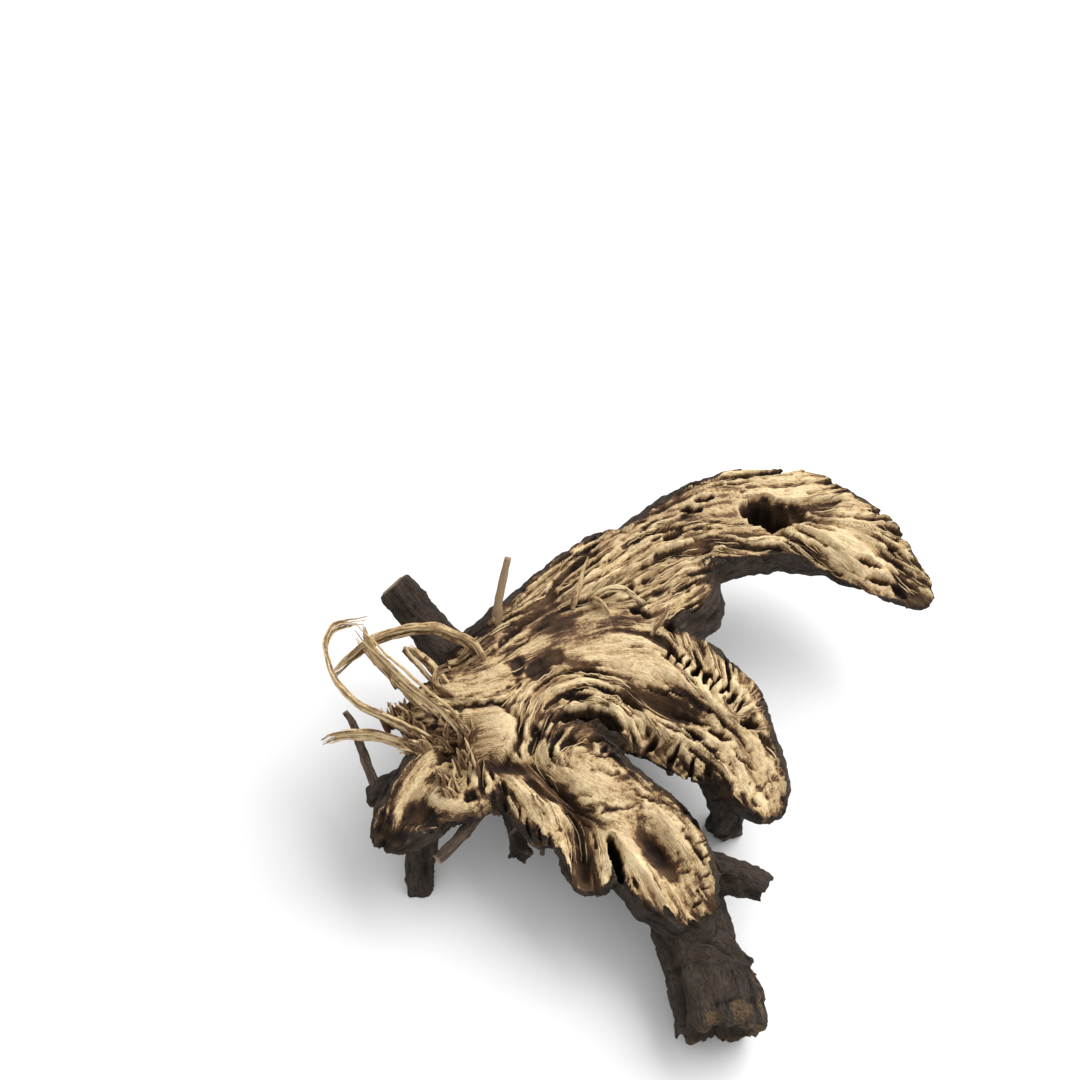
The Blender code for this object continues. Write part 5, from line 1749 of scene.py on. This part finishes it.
def fibre_tree():
    """Turns routes into bundles of fine fibres. A route's radius at a point is half its bundle's width."""
    nodes = Nodes(
        "fibre_bundles",
        [
            ("Routes", "NodeSocketGeometry"),
            ("Fibres", "NodeSocketInt"),
            ("Radius", "NodeSocketFloat"),
            ("Wander", "NodeSocketFloat"),
            ("Splay", "NodeSocketFloat"),
            ("Seed", "NodeSocketInt"),
            ("Material", "NodeSocketMaterial"),
        ],
    )
    seed = nodes.input("Seed")
    width = nodes.add("GeometryNodeInputRadius", {}, {})
    level = nodes.add("GeometryNodeSetCurveNormal", {"mode": "Z_UP"}, {"Curve": nodes.input("Routes")})
    routes = nodes.keep(level, "bundle_width", width)
    copies = nodes.tree.nodes.new("GeometryNodeDuplicateElements")
    copies.domain = "SPLINE"
    nodes.tree.links.new(routes, copies.inputs["Geometry"])
    nodes.tree.links.new(nodes.input("Fibres"), copies.inputs["Amount"])
    fibres = copies.outputs["Geometry"]
    fibres = nodes.keep(fibres, "fibre", copies.outputs["Duplicate Index"], "CURVE")
    index = nodes.add("GeometryNodeInputIndex", {}, {})
    fibres = nodes.keep(fibres, "lot", index, "CURVE")

    def named(name):
        return nodes.add("GeometryNodeInputNamedAttribute", {"data_type": "FLOAT"}, {"Name": name})

    lot = nodes.maths("ADD", named("lot"), 0.5)
    last = nodes.maths("MAXIMUM", nodes.maths("SUBTRACT", nodes.input("Fibres"), 1.0), 1.0)
    side = nodes.maths("SUBTRACT", nodes.maths("DIVIDE", named("fibre"), last), 0.5)
    side = nodes.maths("ADD", side, nodes.random(-STRAY, STRAY, lot, seed))
    along = nodes.add("GeometryNodeSplineParameter", {}, {}, "Factor")
    splay = nodes.maths("MULTIPLY", nodes.maths("POWER", along, SPLAY_POWER), nodes.input("Splay"))
    spread = nodes.maths("MULTIPLY", nodes.maths("MULTIPLY", side, 2.0), nodes.maths("ADD", splay, 1.0))
    tangent = nodes.add("GeometryNodeInputTangent", {}, {})
    normal = nodes.add("GeometryNodeInputNormal", {}, {})
    sideways = nodes.vectors("CROSS_PRODUCT", tangent, normal)
    offset = nodes.scaled(sideways, nodes.maths("MULTIPLY", spread, named("bundle_width")))
    height = nodes.maths("ADD", nodes.maths("MULTIPLY", splay, TIP_DEPTH), BUNDLE_DEPTH)
    lifted = nodes.maths("MULTIPLY", nodes.random(-1.0, 1.0, lot, nodes.maths("ADD", seed, 3.0)), height)
    lift = nodes.scaled(normal, nodes.maths("MULTIPLY", lifted, named("bundle_width")))
    spot = nodes.add("GeometryNodeInputPosition", {}, {})
    apart = nodes.scaled((1.0, 0.7, 0.4), nodes.maths("MULTIPLY", lot, SWAY_STEP))
    drawn = nodes.vectors("ADD", nodes.scaled(spot, SWAYS), apart)
    sway = nodes.add("ShaderNodeTexNoise", {}, {"Vector": drawn, "Scale": 1.0, "Detail": 2.0}, "Color")
    sway = nodes.vectors("SUBTRACT", sway, (0.5, 0.5, 0.5))
    sway = nodes.scaled(sway, nodes.input("Wander"))
    move = nodes.vectors("ADD", nodes.vectors("ADD", offset, lift), sway)
    fibres = nodes.add("GeometryNodeSetPosition", {}, {"Geometry": fibres, "Offset": move})
    ends = nodes.random(*FIBRE_LENGTHS, lot, nodes.maths("ADD", seed, 5.0))
    fibres = nodes.add("GeometryNodeTrimCurve", {"mode": "FACTOR"}, {"Curve": fibres, "End": ends})
    again = nodes.add("GeometryNodeSplineParameter", {}, {}, "Factor")
    fibres = nodes.keep(fibres, "length", again)
    tints = nodes.random(0.0, 1.0, lot, nodes.maths("ADD", seed, 9.0))
    fibres = nodes.keep(fibres, "tint", tints, "CURVE")
    lost = nodes.maths("MULTIPLY", nodes.maths("POWER", again, THIN_POWER), THIN_SHARE)
    thin = nodes.maths("SUBTRACT", 1.0, lost)
    uneven = nodes.random(*FIBRE_SIZES, lot, nodes.maths("ADD", seed, 11.0))
    size = nodes.maths("MULTIPLY", nodes.maths("MULTIPLY", thin, uneven), nodes.input("Radius"))
    outline = nodes.add("GeometryNodeCurvePrimitiveCircle", {}, {"Resolution": FIBRE_SIDES, "Radius": 1.0})
    skins = nodes.add(
        "GeometryNodeCurveToMesh",
        {},
        {"Curve": fibres, "Profile Curve": outline, "Scale": size, "Fill Caps": True},
    )
    solid = nodes.add("GeometryNodeRealizeInstances", {}, {"Geometry": skins})
    material = nodes.input("Material")
    nodes.finish(nodes.add("GeometryNodeSetMaterial", {}, {"Geometry": solid, "Material": material}))
    return nodes


def fibre_piece(name, routes, tree, values):
    """One plain mesh of fibres along the routes. Each route is points in the part's frame and half widths."""
    curve = bpy.data.curves.new(name, "CURVE")
    curve.dimensions = "3D"
    for points, widths in routes:
        spline = curve.splines.new("POLY")
        spline.points.add(len(points) - 1)
        spline.points.foreach_set("co", np.hstack([points, np.ones((len(points), 1))]).ravel())
        spline.points.foreach_set("radius", np.asarray(widths, float))
    source = bpy.data.objects.new(name + "_routes", curve)
    bpy.context.scene.collection.objects.link(source)
    grow = source.modifiers.new("fibres", "NODES")
    grow.node_group = tree.tree
    for label, value in values.items():
        grow[tree.identifiers[label]] = value
    graph = bpy.context.evaluated_depsgraph_get()
    mesh = bpy.data.meshes.new_from_object(source.evaluated_get(graph))
    bpy.data.objects.remove(source)
    piece = bpy.data.objects.new(name, mesh)
    mesh.name = name
    bpy.context.scene.collection.objects.link(piece)
    mesh.shade_smooth()
    return piece


def strand_routes():
    """The strands' and the blade's routes in the part's frame, with their half widths."""
    routes = []
    pieces = [(points, STRAND_WIDTH) for points in STRANDS.values()] + [(BLADE, BLADE_WIDTH)]
    pieces += [(points, CURL_WIDTH) for points in CURLS]
    for points, width in pieces:
        centres = smooth_route(points, STRAND_GAP)
        part = np.linspace(0, 1, len(centres))
        centres[:, 2] -= STRAND_SINK * soft_step(SUNK_SHARE, 0.0, part) * (width > CURL_WIDTH)
        shape = np.interp(part, *STRAND_TAPER)
        routes.append((into_frame(centres), width * MM * shape))
    return routes


def loose_routes(count, seed):
    """Short routes that follow the fibres over the face, with their ends lifted off it."""
    rng = np.random.default_rng(seed)
    settings = bpy.context.scene.rhizome_body
    gap = LOOSE_STEP
    ticks_u, ticks_w = np.arange(*CARVED_U, gap), np.arange(*CARVED_W, gap)
    u, w = np.meshgrid(ticks_u, ticks_w, indexing="ij")
    fields = face_fields(u, w, settings)
    first = (CARVED_U[0], CARVED_W[0])
    from_rim = distance_beyond_lobes(u, w)
    rough = fields["rough"] * (from_rim < LOOSE_START) * (1 - fields["darkened"]) * (fields["pit"] < 0.1)
    weight = (rough**2).ravel()
    starts = rng.choice(len(weight), count, p=weight / weight.sum())
    routes = []
    for start in starts:
        x = np.array([u.ravel()[start]])
        y = np.array([w.ravel()[start]])
        heading = rng.uniform(0, 2 * math.pi)
        last = np.array([math.cos(heading), math.sin(heading)])
        steps = int(rng.integers(*LOOSE_STEPS))
        lift = rng.uniform(*LOOSE_LIFTS) + LOOSE_HIGHEST * rng.uniform() ** LOOSE_FEW
        points = []
        for step in range(steps):
            if sample(from_rim, first, gap, x, y)[0] > LOOSE_STAY:
                break
            height = sample(fields["height"], first, gap, x, y)[0]
            part = step / (steps - 1)
            points.append((x[0], y[0], height + 0.12 + lift * part**2))
            go = np.array([value[0] for value in flow_at(x, y)])
            go = go if go @ last > 0 else -go
            last = unit(0.8 * go + 0.2 * last + rng.normal(0, 0.12, 2))
            x, y = x + LOOSE_STEP * last[0], y + LOOSE_STEP * last[1]
        points = np.array(points)
        if len(points) > 5 and np.abs(np.diff(points[:, 2])).max() < LOOSE_STEEPEST:
            routes.append((into_frame(points), np.full(len(points), LOOSE_WIDTH * MM)))
    return routes


def tuft_routes(count, seed):
    """Short torn fibres that stand up where the left end is frayed, pointing away from the body."""
    rng = np.random.default_rng(seed)
    routes = []
    for _ in range(count):
        place = FRAYED_PLACES[rng.integers(len(FRAYED_PLACES))]
        turn, out = rng.uniform(0, 2 * math.pi), math.sqrt(rng.uniform())
        u, w = place[0] + place[2] * out * math.cos(turn), place[1] + place[3] * out * math.sin(turn)
        heading = math.radians(place[4] + rng.uniform(-TUFT_FAN, TUFT_FAN))
        length, lift, bend = [rng.uniform(*limits) for limits in (TUFT_LENGTHS, TUFT_LIFTS, TUFT_BENDS)]
        part = np.linspace(0, 1, 9)
        turned = heading + bend * part
        points = np.stack(
            [
                u + length * part * np.cos(turned),
                w + length * part * np.sin(turned),
                -TUFT_SINK + (TUFT_SINK + lift) * np.sin(part * math.pi / 1.7) ** 0.8,
            ],
            axis=1,
        )
        routes.append((into_frame(points), np.full(len(part), rng.uniform(*TUFT_WIDTHS) * MM)))
    return routes


def make_rootlets():
    """The thin rootlets, wrinkled lengthwise, each with its root sunk in the body."""
    points, faces, grain, broken, sides = [], [], [], [], ROOTLET_SIDES
    roots = [(route, radius, PEELED.get(name, 0.0), 1.0) for name, (route, radius) in ROOTLETS.items()]
    for foot, lean, length, radius in root_stumps():
        roots.append(([foot - STUMP_SINK * lean, foot, foot + length * lean], radius, 0.0, STUMP_TORN))
    for number, (route, radius, peeled, torn) in enumerate(roots):
        centres = smooth_route(route, ROOTLET_GAP)
        part = np.linspace(1, ROOTLET_TIP, len(centres))
        stations = np.hstack([centres, (radius * part)[:, None]])
        tube_points, tube_faces = tube(stations, sides)
        angles = 2 * math.pi * np.arange(sides) / sides
        travelled = np.concatenate([[0], np.cumsum(np.linalg.norm(np.diff(centres, axis=0), axis=1))])
        around = np.stack(
            [
                np.broadcast_to(radius * np.cos(angles), (len(centres), sides)),
                np.broadcast_to(radius * np.sin(angles), (len(centres), sides)),
                np.broadcast_to(travelled[:, None] + ROOTLET_SHIFT * number, (len(centres), sides)),
            ],
            axis=-1,
        ).reshape(-1, 3)
        out = unit(tube_points - np.repeat(centres, sides, axis=0))
        ridges = 1 - np.abs(bark_noise(around, "rootlet_ridges")) * 1.6
        bumps = bark_noise(around, "rootlet_bumps")
        tube_points = tube_points + out * (radius * (0.16 * ridges + 0.12 * bumps - 0.1))[:, None]
        first = sum(len(group) for group in points)
        points.append(tube_points)
        faces += [tuple(first + corner for corner in face) for face in tube_faces]
        grain.append(around)
        end = np.full(len(tube_points), peeled)
        end[-sides:] = torn
        broken.append(end)
    piece = mesh_object("rootlets", into_frame(np.vstack(points)), faces)
    store(piece.data, "grain_place", np.vstack(grain))
    store(piece.data, "broken", np.concatenate(broken))
    piece.data.materials.append(rootlet_finish(bpy.context.scene.rhizome_finish))
    piece.data.shade_smooth()
    return piece


def claim(piece):
    """Fixes a finished piece to the part's one body, and hides the solid that it stands in for."""
    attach(piece, "root")
    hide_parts("rhizome")


class RHIZOME_OT_body(bpy.types.Operator):
    """Build the rhizome's body with its torn face and its bark"""

    bl_idname = "rhizome.body"
    bl_label = "Build body"

    def execute(self, context):
        claim(make_body())
        return {"FINISHED"}


class RHIZOME_OT_rootlets(bpy.types.Operator):
    """Build the thin rootlets"""

    bl_idname = "rhizome.rootlets"
    bl_label = "Build rootlets"

    def execute(self, context):
        claim(make_rootlets())
        return {"FINISHED"}


class RHIZOME_OT_fibres(bpy.types.Operator):
    """Build the torn strands, the loose fibres of the face and the frayed tufts"""

    bl_idname = "rhizome.fibres"
    bl_label = "Build fibres"

    def execute(self, context):
        settings = context.scene.rhizome_fibres
        colours = context.scene.rhizome_finish
        material = fibre_finish(colours, "pale_fibre", PALE_SHADE)
        tree = fibre_tree()
        shared = {"Seed": settings.seed, "Material": material}
        strands = {"Fibres": settings.fibres_per_strand, "Radius": settings.fibre_radius}
        claim(fibre_piece("torn_strands", strand_routes(), tree, shared | strands | STRAND_LOOK))
        routes = loose_routes(settings.loose_fibres, settings.seed)
        claim(fibre_piece("loose_fibres", routes, tree, shared | LOOSE_LOOK))
        shared["Material"] = fibre_finish(colours, "brown_fibre", BROWN_SHADE)
        routes = tuft_routes(settings.tufts, settings.seed)
        claim(fibre_piece("frayed_tufts", routes, tree, shared | TUFT_LOOK))
        return {"FINISHED"}


class RHIZOME_OT_stage(bpy.types.Operator):
    """Set up the floor, the light and the camera"""

    bl_idname = "rhizome.stage"
    bl_label = "Set up stage"

    def execute(self, context):
        settings = context.scene.rhizome_stage
        points = FLOOR_REACH * np.array([(-1, -1, 0), (1, -1, 0), (1, 1, 0), (-1, 1, 0)])
        floor = mesh_object("floor", points, [(0, 1, 2, 3)])
        finish = Finish("floor", 0.6)
        finish.shader.inputs["Base Color"].default_value = (*settings.floor, 1.0)
        floor.data.materials.append(finish.material)
        world = bpy.data.worlds.new("sky")
        world.use_nodes = True
        world.node_tree.nodes["Background"].inputs["Color"].default_value = (1.0, 1.0, 1.0, 1.0)
        world.node_tree.nodes["Background"].inputs["Strength"].default_value = settings.sky
        context.scene.world = world
        lamp = bpy.data.lights.new("window", "AREA")
        lamp.energy = settings.lamp_power
        lamp.shape = "RECTANGLE"
        lamp.size, lamp.size_y = LAMP_SIZE
        window = bpy.data.objects.new("window", lamp)
        window.location = LAMP_PLACE
        window.rotation_euler = (-Vector(window.location)).to_track_quat("-Z", "Y").to_euler()
        context.scene.collection.objects.link(window)
        eye = bpy.data.cameras.new("camera")
        eye.lens = settings.lens
        eye.sensor_width = SENSOR_WIDTH
        eye.clip_start = CLIP_START
        camera = bpy.data.objects.new("camera", eye)
        camera.location = CAMERA_PLACE
        camera.rotation_euler = (settings.look_down, 0, 0)
        context.scene.collection.objects.link(camera)
        context.scene.camera = camera
        context.scene.view_settings.view_transform = "Standard"
        return {"FINISHED"}


class RHIZOME_PT_build(bpy.types.Panel):
    """The pieces in the order in which they are built"""

    bl_idname = "RHIZOME_PT_build"
    bl_label = "Dried rhizome"
    bl_space_type = "VIEW_3D"
    bl_region_type = "UI"
    bl_category = "Rhizome"

    def draw(self, context):
        for operator in OPERATORS:
            self.layout.operator(operator.bl_idname)


OPERATORS = (RHIZOME_OT_body, RHIZOME_OT_rootlets, RHIZOME_OT_fibres, RHIZOME_OT_stage)
SETTINGS = {
    "rhizome_body": BodySettings,
    "rhizome_finish": FinishSettings,
    "rhizome_fibres": FibreSettings,
    "rhizome_stage": StageSettings,
}


def register():
    for group in (*SETTINGS.values(), *OPERATORS, RHIZOME_PT_build):
        bpy.utils.register_class(group)
    for name, group in SETTINGS.items():
        setattr(bpy.types.Scene, name, PointerProperty(type=group))


def unregister():
    for name in SETTINGS:
        delattr(bpy.types.Scene, name)
    for group in (RHIZOME_PT_build, *reversed(OPERATORS), *SETTINGS.values()):
        bpy.utils.unregister_class(group)


def main():
    register()
    bpy.ops.rhizome.body()
    bpy.ops.rhizome.rootlets()
    bpy.ops.rhizome.fibres()
    bpy.ops.rhizome.stage()


if __name__ == "__main__":
    main()
